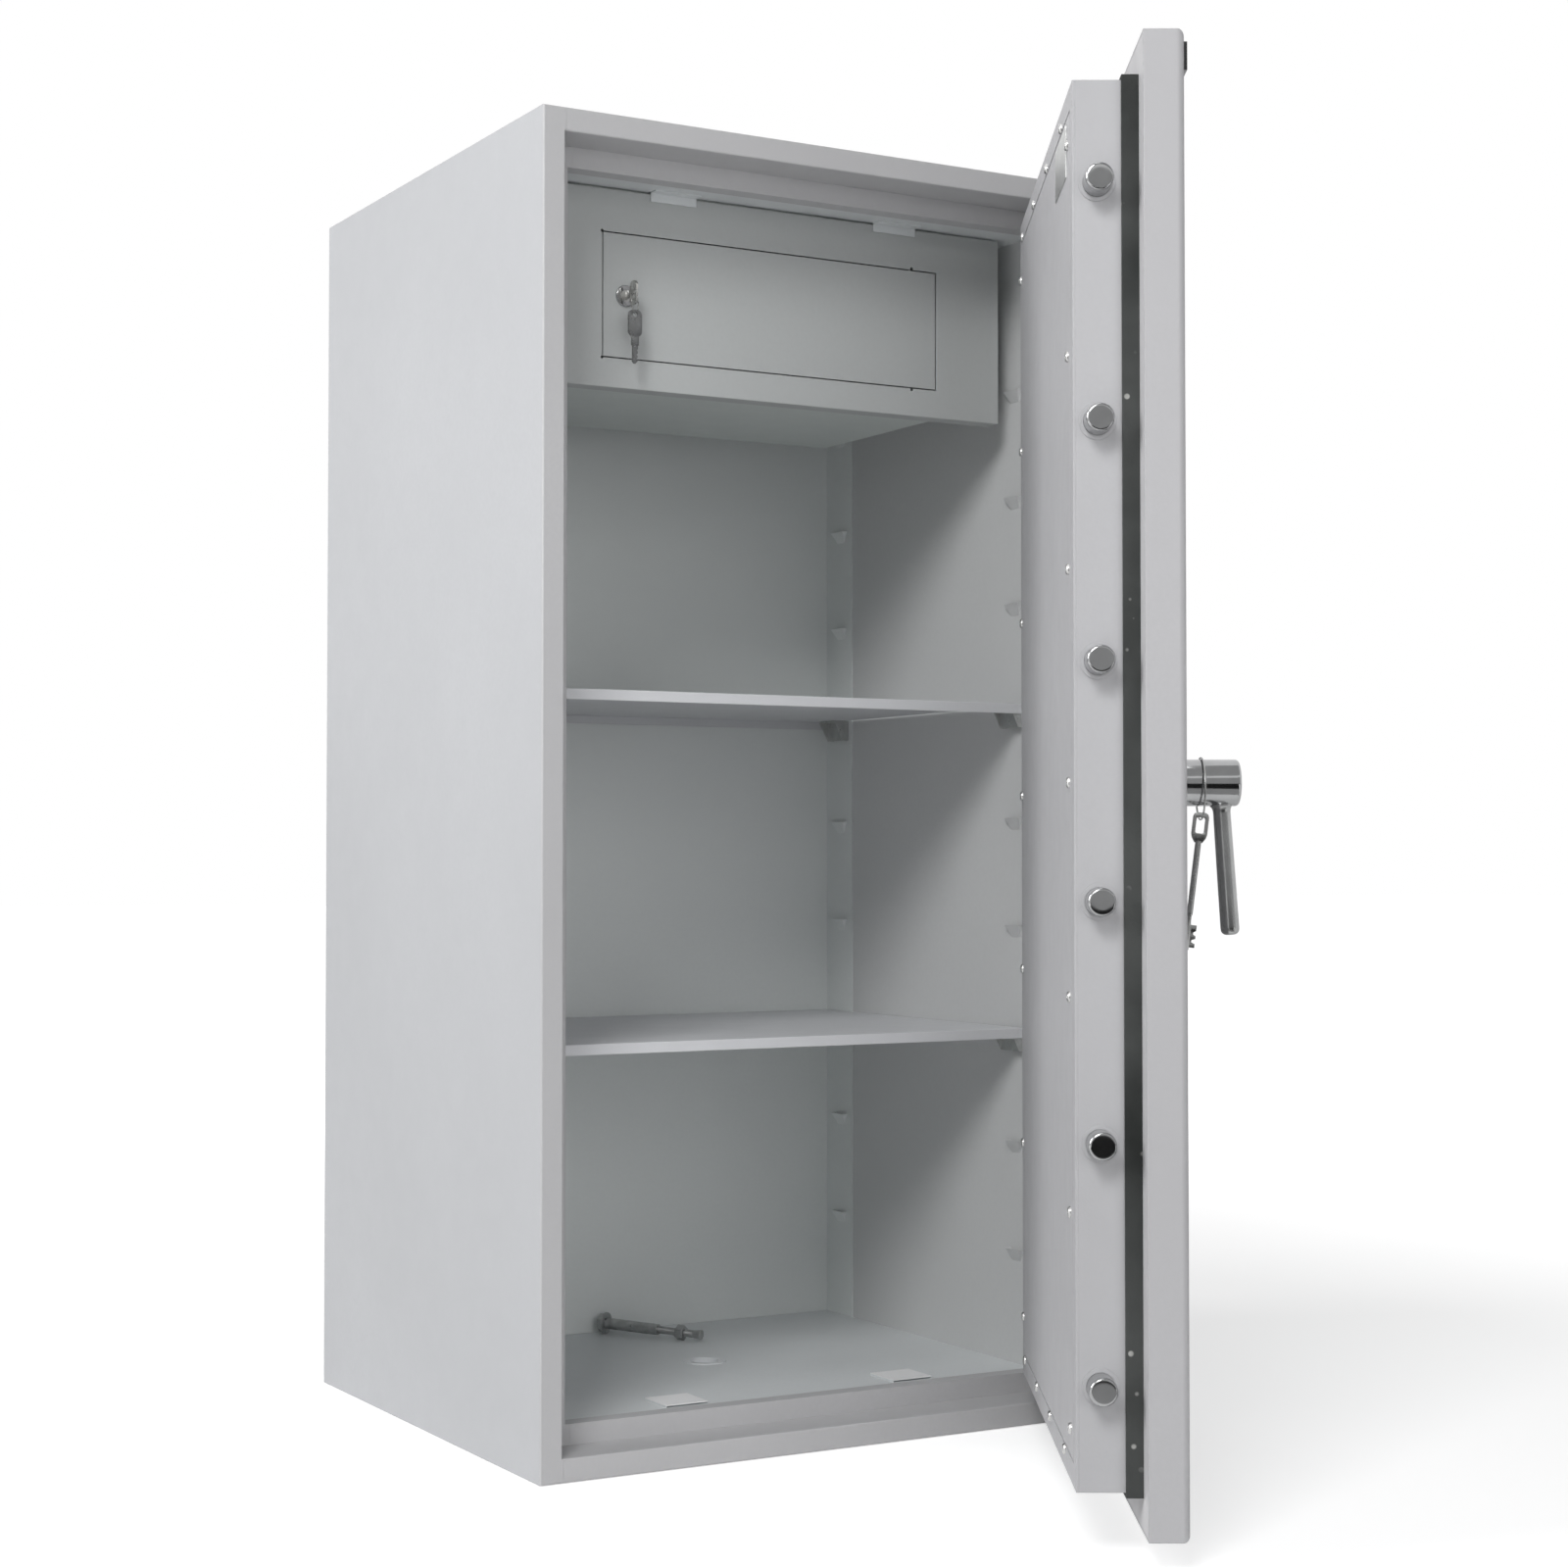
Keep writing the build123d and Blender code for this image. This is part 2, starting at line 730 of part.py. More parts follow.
def locker_body():
    y0 = locker_face_y
    y1 = locker_back_face_y
    t = locker_face_t
    side = liner_x - locker_side_gap
    low = locker_open_low
    high = locker_open_high
    face = block(-side, side, y0, y1, locker_low_z, locker_top_z)
    face += block(-side, side, y0, y0 + locker_flange, locker_low_z, locker_low_z + t)
    bend = [e for e in face.edges().filter_by(Axis.X) if abs(e.center().Y - y0) < 0.01]
    face = fillet([e for e in bend if abs(e.center().Z - locker_low_z) < 0.01], locker_bend_r)
    face -= block(locker_open_left, locker_open_right, y0, y1, low, high)
    notch_x = locker_notch_w / 2
    notch_z = (low - locker_notch_h, high + locker_notch_h)
    face -= block(locker_pivot_x - notch_x, locker_pivot_x + notch_x, y0, y1, *notch_z)
    for z in (low, high):
        face -= along_y(locker_relief_r, locker_open_left, z, y0, y1)
    catch_low = low + locker_relief_r + locker_catch_gap
    catch_high = high - locker_relief_r - locker_catch_gap
    face += block(locker_open_left - t, locker_open_left, y0, y1 + locker_catch, catch_low, catch_high)
    for z in (low - locker_ear_rise - t, high + locker_ear_rise):
        x = locker_pivot_x
        ear = block(x - locker_ear_w / 2, x + locker_ear_w / 2, y0, locker_pivot_y + locker_ear_past, z, z + t)
        face += ear - along_z(locker_pin_r, x, locker_pivot_y, z, z + t)
    save("locker_faceplate", face)

    s = locker_shell_t
    back_y = y0 + locker_depth
    shell_low = locker_low_z + t
    shell = block(locker_shell_left, locker_shell_right, y1, back_y, shell_low, liner_high)
    inner_x = (locker_shell_left + s, locker_shell_right - s)
    shell -= block(*inner_x, y1, back_y - s, shell_low + s, liner_high - s)
    step_z = locker_top_z - locker_step_z
    shell -= block(locker_shell_left, locker_shell_right, y1, y1 + locker_step_y, step_z, liner_high)
    screws = []
    for x, y in locker_screw_spots:
        shell -= along_z(locker_screw_r, x, y, liner_high - s, liner_high)
        head_low = liner_high - s - locker_screw_head_t
        head = along_z(2 * locker_screw_r, x, y, head_low, liner_high - s)
        screws.append(head + along_z(locker_screw_r, x, y, liner_high - s, liner_high + locker_screw_bite))
    save("locker_shell", shell)
    save("locker_screws", *screws)


def locker_pins():
    # pressed into the ears of the face, they carry the small door
    ear = locker_open_high + locker_ear_rise
    tip = locker_open_high - locker_gap - locker_face_t - locker_pin_past
    top = ear + locker_face_t
    pin = along_z(locker_pin_r, locker_pivot_x, locker_pivot_y, tip, top)
    pin += along_z(locker_pin_head_r, locker_pivot_x, locker_pivot_y, top, top + locker_pin_head_t)
    lower = Pos(0, 0, 2 * cam_lock_z) * mirror(pin, about=Plane.XY)
    save("locker_pins", pin, lower)


def locker_door():
    x0 = locker_open_left + locker_gap
    x1 = locker_open_right - locker_gap
    z0 = locker_open_low + locker_gap
    z1 = locker_open_high - locker_gap
    t = locker_face_t
    y0 = locker_face_y
    y1 = y0 + locker_door_edge
    door = block(x0, x1, y0, y1, z0, z1)
    door -= block(x0 + t, x1 - t, y0 + t, y1, z0 + t, z1 - t)
    vertical = [e for e in door.edges().filter_by(Axis.Z) if abs(e.center().Y - y0) < 0.01]
    door = fillet(vertical, locker_door_bend_r)
    door -= along_z(locker_pin_r + locker_pin_fit, locker_pivot_x, locker_pivot_y, z0, z1)
    door -= along_y(cam_barrel_r, cam_lock_x, cam_lock_z, y0, y0 + t)
    save("locker_door", door)


def cam_lock():
    x = cam_lock_x
    z = cam_lock_z
    y0 = locker_face_y
    collar = along_y(cam_collar_r, x, z, y0 - cam_collar_t, y0)
    edge = [e for e in collar.edges() if abs(e.center().Y - y0 + cam_collar_t) < 0.01]
    barrel = fillet(edge, cam_collar_edge_r) + along_y(cam_barrel_r, x, z, y0, cam_y)
    barrel -= along_y(cam_plug_r + cam_plug_fit, x, z, y0 - cam_collar_t, cam_y)
    nut_y = y0 + locker_face_t
    nut = along_y(cam_nut_r, x, z, nut_y, nut_y + cam_nut_t) - along_y(cam_barrel_r, x, z, nut_y, cam_y)
    save("locker_lock", barrel, nut)

    face_y = y0 - cam_collar_t + cam_plug_sunk
    plug = along_y(cam_plug_r, x, z, face_y, cam_y)
    stem_end = cam_y + cam_t + cam_stem_past
    plug += along_y(cam_stem_r, x, z, cam_y, stem_end)
    blade = small_key_blade_block(face_y)
    arm = block(x - cam_w / 2, x + cam_w / 2, cam_y, cam_y + cam_t, z - cam_reach, z)
    arm += along_y(cam_w / 2, x, z, cam_y, cam_y + cam_t)
    tip = [e for e in arm.edges().filter_by(Axis.Y) if abs(e.center().Z - z + cam_reach) < 0.01]
    arm = fillet(tip, cam_tip_r) - along_y(cam_stem_r, x, z, cam_y, cam_y + cam_t)
    nut_r = cam_stem_r + cam_end_nut_w
    end_nut = along_y(nut_r, x, z, cam_y + cam_t, cam_y + cam_t + cam_end_nut_t)
    end_nut -= along_y(cam_stem_r, x, z, cam_y + cam_t, stem_end)
    save("locker_plug", plug - blade, arm, end_nut)


def small_key_blade_block(y0):
    half_t = small_key_t / 2
    half_h = small_key_blade / 2
    x = cam_lock_x
    y1 = locker_face_y + small_key_bite
    return block(x - half_t, x + half_t, y0, y1, cam_lock_z - half_h, cam_lock_z + half_h)


def key_bow(width, height, thickness):
    # a rounded plate in the YZ plane, centred on the origin
    outline = Plane.YZ * RectangleRounded(width, height, small_key_corner_r)
    return extrude(outline, amount=thickness / 2, both=True)


def small_keys():
    x = cam_lock_x
    z = cam_lock_z
    bow_front = locker_face_y - small_key_reach
    hole_y = bow_front + small_key_hole_r + small_key_eye_wall
    key = Pos(x, bow_front + small_key_bow_w / 2, z) * key_bow(small_key_bow_w, small_key_bow_h, small_key_t)
    key += small_key_blade_block(bow_front + small_key_bow_w - small_key_overlap)
    key -= along_x(small_key_hole_r, hole_y, z, x - small_key_t, x + small_key_t)
    save("locker_key", key)

    ring_z = z - small_ring_drop - small_ring_r
    ring = Torus(small_ring_r, small_ring_wire_r)
    ring = Pos(x, hole_y, ring_z) * Rot(0, 0, small_ring_turn) * Rot(90, 0, 0) * ring
    save("locker_key_ring", ring)

    hole_z = ring_z - small_ring_r - small_ring_drop
    spare_z = hole_z + small_key_hole_r + small_key_eye_wall - spare_bow_h / 2
    spare = Rot(0, 0, 90) * key_bow(small_key_bow_w, spare_bow_h, small_key_t)
    spare = Pos(x, hole_y, spare_z) * spare
    low = spare_z - spare_bow_h / 2
    half_t = small_key_t / 2
    neck_low = low - spare_neck_l
    faces = (hole_y - half_t, hole_y + half_t)
    spare += block(x - spare_neck_w / 2, x + spare_neck_w / 2, *faces, neck_low, low + small_key_overlap)
    spare += block(x - spare_blade_w / 2, x + spare_blade_w / 2, *faces, low - spare_blade_l, neck_low)
    spare -= along_y(small_key_hole_r, x, hole_z, *faces)
    save("locker_spare_key", spare)


def door_shell(inset, y1, edge_r):
    x = door_x - inset
    y0 = front + inset
    shape = block(-x, x, y0, y1, door_low + inset, door_high - inset)
    return fillet([e for e in shape.edges() if abs(e.center().Y - y0) < 0.01], edge_r)


def spindle_hole(radius, y0, y1):
    return along_y(radius, handle_x, handle_z, y0, y1)


def keyhole_hole(radius, y0, y1):
    return along_y(radius, handle_x, keyhole_z, y0, y1)


def door_body():
    through = [spindle_hole(spindle_bush_r, front, door_back_y), keyhole_hole(key_tube_r, front, door_back_y)]
    plate_y = door_back_y - door_plate_t
    inner_r = door_edge_r - door_skin_t
    skin = door_shell(0, door_back_y, door_edge_r) - door_shell(door_skin_t, door_back_y, inner_r)
    filling = door_shell(door_skin_t, plate_y, inner_r)
    x = door_x - door_skin_t
    plate = block(-x, x, plate_y, door_back_y, door_low + door_skin_t, door_high - door_skin_t)
    save_on_door("door_skin", skin - through)
    save_on_door("door_filling", filling - through)
    save_on_door("door_plate", plate - through)

    y0 = door_back_y
    box = block(box_left, box_right, y0, box_back_y, box_low, box_high)
    t = box_t
    box -= block(box_left + t, box_right - t, y0, box_back_y - t, box_low + t, box_high - t)
    window = (box_left + box_lock_flange, box_right - box_flange)
    box -= block(*window, box_back_y - t, box_back_y, box_low + box_flange, box_high - box_flange)
    for z in bolt_zs:
        box -= along_x(bolt_r + bush_t, bolt_y, z, box_left, box_left + t)
    screws = cover_screw_spots()
    for x, z in screws:
        box -= along_y(cover_shank_r, x, z, box_back_y - t, box_back_y)
    save_on_door("door_box", box)

    g = cover_groove_inset
    w = cover_groove_w
    depth_y = cover_back_y - cover_groove_depth
    groove = block(box_left + g, box_right - g, depth_y, cover_back_y, box_low + g, box_high - g)
    g += w
    groove -= block(box_left + g, box_right - g, depth_y, cover_back_y, box_low + g, box_high - g)
    cover = block(box_left, box_right, box_back_y, cover_back_y, box_low, box_high) - groove
    for x, z in screws:
        cover -= along_y(cover_shank_r, x, z, box_back_y, cover_back_y)
    save_on_door("back_cover", cover)

    heads = []
    for x, z in screws:
        head = along_y(cover_screw_r, x, z, cover_back_y, cover_back_y + cover_screw_h)
        rim = [e for e in head.edges() if abs(e.center().Y - cover_back_y - cover_screw_h) < 0.01]
        shank = along_y(cover_shank_r, x, z, box_back_y - t, cover_back_y)
        heads.append(fillet(rim, cover_screw_h * cover_screw_crown) + shank)
    save_on_door("cover_screws", *heads)

    s = seal_w
    seal = block(box_left - s, box_right + s, y0, y0 + seal_h, box_low - s, box_high + s)
    save_on_door("fire_seal", seal - block(box_left, box_right, y0, y0 + seal_h, box_low, box_high))
    filling_x = bar_left + bar_w + bolt_throw + filling_gap
    y1 = box_back_y - t
    save_on_door("box_filling", block(filling_x, box_right - t, y0, y1, box_low + t, box_high - t))


def cover_screw_spots():
    lock_x = box_left + cover_lock_inset
    hinge_side_x = box_right - cover_hinge_inset
    spots = [(lock_x, mid_z + cover_lock_pitch * k) for k in range(-3, 4)]
    spots += [(hinge_side_x, mid_z + cover_hinge_pitch * k) for k in range(-3, 4)]
    for k in range(4):
        x = box_left + cover_row_first + cover_row_pitch * k
        spots += [(x, box_low + cover_end_inset), (x, box_high - cover_end_inset)]
    return spots


def hinges():
    leaves = []
    straps = []
    pins = []
    washers = []
    gap = hinge_washer_t / 2
    for z in hinge_zs:
        low = z - hinge_knuckle_h
        high = z + hinge_knuckle_h
        lower = along_z(hinge_r, hinge_x, hinge_y, low, z - gap)
        leaf = (rim_x + hinge_leaf_inner, half_w - hinge_leaf_outer)
        lower += block(*leaf, front - hinge_leaf_t, front, low, z - gap)
        leaves.append(lower - along_z(hinge_pin_r, hinge_x, hinge_y, low, z - gap))
        upper = along_z(hinge_r, hinge_x, hinge_y, z + gap, high)
        strap_y = front - hinge_strap_t
        upper += block(hinge_x - hinge_strap_l, door_x - door_edge_r, strap_y, front, z + gap, high)
        relief_y = front - hinge_strap_relief
        upper += block(door_x - door_edge_r, hinge_x, strap_y, relief_y, z + gap, high)
        straps.append(upper - along_z(hinge_pin_r + hinge_fit, hinge_x, hinge_y, z + gap, high))
        cap_z = high + hinge_cap_gap
        pin = along_z(hinge_pin_r, hinge_x, hinge_y, low, cap_z)
        pins.append(pin + along_z(hinge_cap_r, hinge_x, hinge_y, cap_z, cap_z + hinge_cap_t))
        washer = along_z(hinge_r - hinge_washer_inset, hinge_x, hinge_y, z - gap, z + gap)
        washers.append(washer - along_z(hinge_pin_r, hinge_x, hinge_y, z - gap, z + gap))
    save("hinge_leaves", *leaves)
    save("hinge_pins", *pins, *washers)
    save_on_door("hinge_straps", *straps)


def bolt_work():
    bolts = []
    bushes = []
    for z in bolt_zs:
        bolt = along_x(bolt_r, bolt_y, z, bolt_tip_x, bar_left)
        nose = [e for e in bolt.edges() if abs(e.center().X - bolt_tip_x) < 0.01]
        bolts.append(fillet(nose, bolt_nose_r))
        bush_r = bolt_r + bush_t
        bush = along_x(bush_r, bolt_y, z, box_left, box_left + bush_l)
        bush += along_x(bush_r + bush_flange_w, bolt_y, z, box_left - bush_flange_t, box_left)
        bore_left = box_left - bush_bore_past
        bushes.append(bush - along_x(bolt_r + bolt_fit, bolt_y, z, bore_left, box_left + bush_l))
    save_on_door("lock_bolts", *bolts)
    save_on_door("bolt_bushes", *bushes)

    bar_low = bolt_zs[0] - bar_over
    bar_high = bolt_zs[-1] + bar_over
    bar_right = bar_left + bar_w
    bar = block(bar_left, bar_right, bar_y, bar_y + bar_t, bar_low, bar_high)
    slot_r = stud_r + stud_fit
    for z in stud_zs:
        slot_left = stud_x - bolt_throw
        bar -= block(slot_left, stud_x, bar_y, bar_y + bar_t, z - slot_r, z + slot_r)
        bar -= along_y(slot_r, slot_left, z, bar_y, bar_y + bar_t)
        bar -= along_y(slot_r, stud_x, z, bar_y, bar_y + bar_t)
    save_on_door("bolt_bar", bar + yoke() + stop_lug())

    studs = []
    for z in stud_zs:
        head_y = bar_y + bar_t + stud_gap
        stud = along_y(stud_r, stud_x, z, door_back_y, head_y)
        stud += along_y(stud_collar_r, stud_x, z, door_back_y, bar_y - stud_gap)
        studs.append(stud + along_y(stud_head_r, stud_x, z, head_y, head_y + stud_head_t))
    save_on_door("guide_studs", *studs)


def yoke():
    # the arm with the upright slot that the crank pin works in
    slot_w = crank_pin_r + crank_pin_fit
    low = handle_z - crank_arm - crank_pin_r - yoke_end_gap
    high = crank_pin_z + crank_pin_r + yoke_end_gap
    w = yoke_wall
    y1 = yoke_y + yoke_t
    arm = block(crank_pin_x - slot_w - w, bar_left, yoke_y, y1, low - w, high + w)
    return arm - block(crank_pin_x - slot_w, crank_pin_x + slot_w, yoke_y, y1, low, high)


def stop_lug():
    # a plate over the lock case, with the hole that the lock tongue rises into
    low = keyhole_z + case_above + stop_lug_gap
    high = low + stop_lug_t
    y0 = door_back_y + case_wall + stop_lug_off
    x0 = handle_x - tongue_w
    foot_x = bar_left + stop_lug_foot
    step_y = bar_y - stop_lug_step
    lug = block(x0, foot_x, y0, step_y, low, high)
    lug += block(bar_left, foot_x, step_y, bar_y, low, high)
    hole_x = tongue_w / 2 + cut_past
    hole_y = tongue_y()
    hole = (hole_y - cut_past, hole_y + tongue_t + cut_past)
    return lug - block(handle_x - hole_x, handle_x + hole_x, *hole, low, high)


def tongue_y():
    return door_back_y + case_depth / 2 - tongue_t / 2


def lock_case():
    x0 = handle_x - case_w / 2
    x1 = handle_x + case_w / 2
    z1 = keyhole_z + case_above
    z0 = z1 - case_h
    y0 = door_back_y
    y1 = y0 + case_depth
    w = case_wall
    case = block(x0, x1, y0, y1, z0, z1) - block(x0 + w, x1 - w, y0 + w, y1 - w, z0 + w, z1 - w)
    case -= keyhole_hole(keyhole_r, y0, y0 + w)
    gap = tongue_fit
    half = tongue_w / 2
    t0 = tongue_y()
    t1 = t0 + tongue_t
    tongue_slot = (handle_x - half - gap, handle_x + half + gap)
    case -= block(*tongue_slot, t0 - gap, t1 + gap, z1 - w, z1)
    save_on_door("lock_case", case)
    top = z1 + tongue_out
    save_on_door("lock_tongue", block(handle_x - half, handle_x + half, t0, t1, top - tongue_l, top))


def keyhole_furniture():
    x = handle_x
    z = keyhole_z
    y1 = front
    y0 = front - plate_t
    low = z + plate_rise - plate_h / 2
    plate = block(x - plate_w / 2, x + plate_w / 2, y0, y1, low, low + plate_h)
    plate = fillet(plate.edges().filter_by(Axis.Y), plate_corner_r)
    plate -= keyhole_hole(keyhole_r, y0, y1)
    pin_z = z + swing_cover_rise
    cover_y1 = y0 - swing_cover_gap
    cover_y0 = cover_y1 - swing_cover_t
    plate += along_y(swing_pin_r, x, pin_z, cover_y0 - swing_cover_gap, y0)
    head_y = cover_y0 - swing_cover_gap
    plate += along_y(swing_pin_head_r, x, pin_z, head_y - swing_pin_head_t, head_y)
    save_on_door("keyhole_plate", plate)

    drop = along_y(swing_cover_r, x, z, cover_y0, cover_y1)
    drop += along_y(swing_cover_r / 2, x, pin_z, cover_y0, cover_y1)
    side = swing_cover_r / 2
    drop += block(x - side, x + side, cover_y0, cover_y1, z, pin_z)
    pin_hole = along_y(swing_pin_r + swing_pin_fit, x, pin_z, cover_y0, cover_y1)
    save_on_door("keyhole_cover", drop - pin_hole)


def handle():
    x = handle_x
    z = handle_z
    hub_end = front - hub_l
    hub = along_y(hub_r, x, z, hub_end, front - hub_gap)
    hub = fillet([e for e in hub.edges() if abs(e.center().Y - hub_end) < 0.01], hub_edge_r)
    spindle_y = front - spindle_in_hub
    spindle = spindle_hole(spindle_r, spindle_y, crank_y)
    lever_base = (Align.CENTER, Align.CENTER, Align.MIN)
    lever = Cone(lever_low_r, lever_top_r, lever_drop - lever_root, align=lever_base)
    lever = fillet([e for e in lever.edges() if abs(e.center().Z) < 0.01], lever_end_r)
    lever = Pos(x, front - lever_out, z) * Rot(-lever_lean, 0, 0) * Pos(0, 0, -lever_drop) * lever
    save_on_door("handle_hub", hub - lever - spindle)
    save_on_door("handle_lever", lever)
    save_on_door("handle_spindle", spindle)

    arm_y1 = crank_y + crank_t
    arm = along_y(crank_boss_r, x, z, crank_y, arm_y1)
    arm += along_y(crank_pin_r + crank_pin_wall, crank_pin_x, crank_pin_z, crank_y, arm_y1)
    turn = Pos(x, 0, z) * Rot(0, 45, 0)
    half_arm = crank_pin_r + crank_arm_wall
    arm += turn * block(-half_arm, half_arm, crank_y, arm_y1, -crank_arm, 0)
    arm += along_y(crank_pin_r, crank_pin_x, crank_pin_z, arm_y1, arm_y1 + crank_pin_l)
    save_on_door("handle_crank", arm)
    bush = spindle_hole(spindle_bush_r, front, door_back_y)
    bush += spindle_hole(spindle_bush_r + spindle_collar_w, front - hub_gap, front)
    bush -= spindle_hole(spindle_r + spindle_fit, front - hub_gap, door_back_y)
    tube = keyhole_hole(key_tube_r, front, door_back_y) - keyhole_hole(keyhole_r, front, door_back_y)
    save_on_door("door_tubes", bush, tube)


def hanging_key():
    ring_r = ring_in_r + ring_wire_r
    ring_z = handle_z + hub_r + ring_gap - ring_in_r
    y = front - ring_y_out
    ring = Pos(handle_x, y, ring_z) * Rot(90, 0, 0) * Torus(ring_r, ring_wire_r)
    save_on_door("key_ring", ring)

    # drawn hanging from the origin, plate in the YZ plane, with -y away from the door
    window_top = ring_wire_r + key_hang
    top = window_top + key_top_wall
    bow = Pos(0, 0, top - key_bow_h / 2) * key_bow(key_bow_w, key_bow_h, key_t)
    side = key_window_w / 2
    bow -= block(-key_t, key_t, -side, side, window_top - key_window_h, window_top)
    shank_top = top - key_bow_h + key_overlap
    tip = top - key_len
    shank = along_z(key_shank_r, 0, 0, tip, shank_top)
    bit_low = tip + key_bit_end
    half_bit = key_bit_w / 2
    bit = block(-key_t / 2, key_t / 2, -half_bit, half_bit, bit_low, bit_low + key_bit_h)
    for k in range(key_cut_count):
        z = bit_low + key_cut_first + key_cut_pitch * k
        shallow = half_bit - key_cut_shallow - k % 2
        bit -= block(-key_t, key_t, shallow, half_bit, z, z + key_cut_h)
        z += key_cut_shift
        bit -= block(-key_t, key_t, -half_bit, -half_bit + key_cut_deep - k % 2, z, z + key_cut_h)
    key = Rot(key_lean, 0, 0) * (bow + shank + bit)
    save_on_door("door_key", Pos(handle_x, y, ring_z - ring_r) * key)


def blank_plates():
    x0 = box_left + cover_lock_inset + cover_screw_r + plate_clear
    z1 = box_high - cover_end_inset - cover_screw_r - plate_clear
    y = cover_back_y
    data = block(x0, x0 + data_plate_w, y, y + data_plate_t, z1 - data_plate_h, z1)
    save_on_door("data_plate", data)
    x0 = -door_x + badge_inset
    z1 = door_high - badge_drop
    save_on_door("badge", block(x0, x0 + badge_w, front - badge_t, front, z1 - badge_h, z1))


casing()
front_frame()
rim_filling()
insulation()
strike_strip()
liner()
floor_anchor_point()
loose_anchor()
shelves()
locker_body()
locker_pins()
locker_door()
cam_lock()
small_keys()
door_body()
hinges()
bolt_work()
lock_case()
keyhole_furniture()
handle()
hanging_key()
blank_plates()
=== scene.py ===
from math import asin, cos, pi, radians, sin, sqrt

import bmesh
import bpy
from mathutils import Euler, Matrix, Vector


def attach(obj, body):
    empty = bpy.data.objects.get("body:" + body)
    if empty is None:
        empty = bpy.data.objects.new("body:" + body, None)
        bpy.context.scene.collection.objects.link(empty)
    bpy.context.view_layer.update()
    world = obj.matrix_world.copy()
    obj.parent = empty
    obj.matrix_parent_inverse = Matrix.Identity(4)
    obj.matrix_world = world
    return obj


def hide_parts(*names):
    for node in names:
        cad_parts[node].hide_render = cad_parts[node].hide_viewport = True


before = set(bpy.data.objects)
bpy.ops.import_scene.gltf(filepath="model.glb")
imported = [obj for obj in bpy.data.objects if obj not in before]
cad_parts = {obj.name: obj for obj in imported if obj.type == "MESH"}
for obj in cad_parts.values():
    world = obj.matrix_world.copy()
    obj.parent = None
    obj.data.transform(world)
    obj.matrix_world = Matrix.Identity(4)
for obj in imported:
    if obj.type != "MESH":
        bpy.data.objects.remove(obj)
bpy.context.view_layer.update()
scene = bpy.context.scene


# The outer casing: one sheet bent round both sides and the back, with a top and
# a bottom sheet let into it. Mild steel under a light grey, lightly textured
# powder coat, which wears thin and bright along its bends.
mm = 0.001


def wire(tree, out, into):
    tree.links.new(out, into)


def mottle(tree, scale, detail=2, low=0, high=1, stretch=(1, 1, 1)):
    # soft patches in the piece's own space, as a number from low to high
    noise_low, noise_high = 0.3, 0.7
    place = tree.nodes.new("ShaderNodeTexCoord")
    spread = tree.nodes.new("ShaderNodeMapping")
    spread.inputs["Scale"].default_value = stretch
    patches = tree.nodes.new("ShaderNodeTexNoise")
    patches.inputs["Scale"].default_value = scale
    patches.inputs["Detail"].default_value = detail
    fit = tree.nodes.new("ShaderNodeMapRange")
    fit.inputs["From Min"].default_value = noise_low
    fit.inputs["From Max"].default_value = noise_high
    fit.inputs["To Min"].default_value = low
    fit.inputs["To Max"].default_value = high
    wire(tree, place.outputs["Object"], spread.inputs["Vector"])
    wire(tree, spread.outputs["Vector"], patches.inputs["Vector"])
    wire(tree, patches.outputs["Fac"], fit.inputs["Value"])
    return fit.outputs["Result"]


def blend_colours(tree, amount, first, second):
    mix = tree.nodes.new("ShaderNodeMix")
    mix.data_type = "RGBA"
    sockets = [s for s in mix.inputs if s.type == "RGBA"]
    for socket, colour in zip(sockets, (first, second)):
        if isinstance(colour, tuple):
            socket.default_value = (*colour, 1)
        else:
            wire(tree, colour, socket)
    wire(tree, amount, mix.inputs[0])
    return [s for s in mix.outputs if s.type == "RGBA"][0]


def calculate(tree, what, first, second):
    sum_node = tree.nodes.new("ShaderNodeMath")
    sum_node.operation = what
    sum_node.use_clamp = True
    for socket, value in zip(sum_node.inputs, (first, second)):
        if isinstance(value, (int, float)):
            socket.default_value = value
        else:
            wire(tree, value, socket)
    return sum_node.outputs[0]


def worn_edges(tree, reach, threshold=0.06, full=0.3):
    # how near a sharp edge a spot is, broken up by small patches
    rounded = tree.nodes.new("ShaderNodeBevel")
    rounded.samples = 4
    rounded.inputs["Radius"].default_value = reach
    flat = tree.nodes.new("ShaderNodeNewGeometry")
    compare = tree.nodes.new("ShaderNodeVectorMath")
    compare.operation = "DOT_PRODUCT"
    wire(tree, rounded.outputs["Normal"], compare.inputs[0])
    wire(tree, flat.outputs["True Normal"], compare.inputs[1])
    edge = tree.nodes.new("ShaderNodeMapRange")
    edge.inputs["From Min"].default_value = 1 - threshold
    edge.inputs["From Max"].default_value = 1 - full
    wire(tree, compare.outputs["Value"], edge.inputs["Value"])
    patches = mottle(tree, scale=60, detail=3, low=0.1, high=1.0)
    worn = calculate(tree, "MULTIPLY", edge.outputs["Result"], patches)
    return rounded.outputs["Normal"], worn


def grain(tree, strength, depth, height=None, scale=None, normal=None):
    bump = tree.nodes.new("ShaderNodeBump")
    bump.inputs["Strength"].default_value = strength
    bump.inputs["Distance"].default_value = depth
    if height is None:
        height = mottle(tree, scale)
    wire(tree, height, bump.inputs["Height"])
    if normal is not None:
        wire(tree, normal, bump.inputs["Normal"])
    return bump.outputs["Normal"]


def shade(colour, share, lift=0.0):
    return tuple(min(1.0, c * share + lift) for c in colour)


def new_finish(name):
    finish = bpy.data.materials.new(name)
    finish.use_nodes = True
    tree = finish.node_tree
    return finish, tree, tree.nodes["Principled BSDF"]


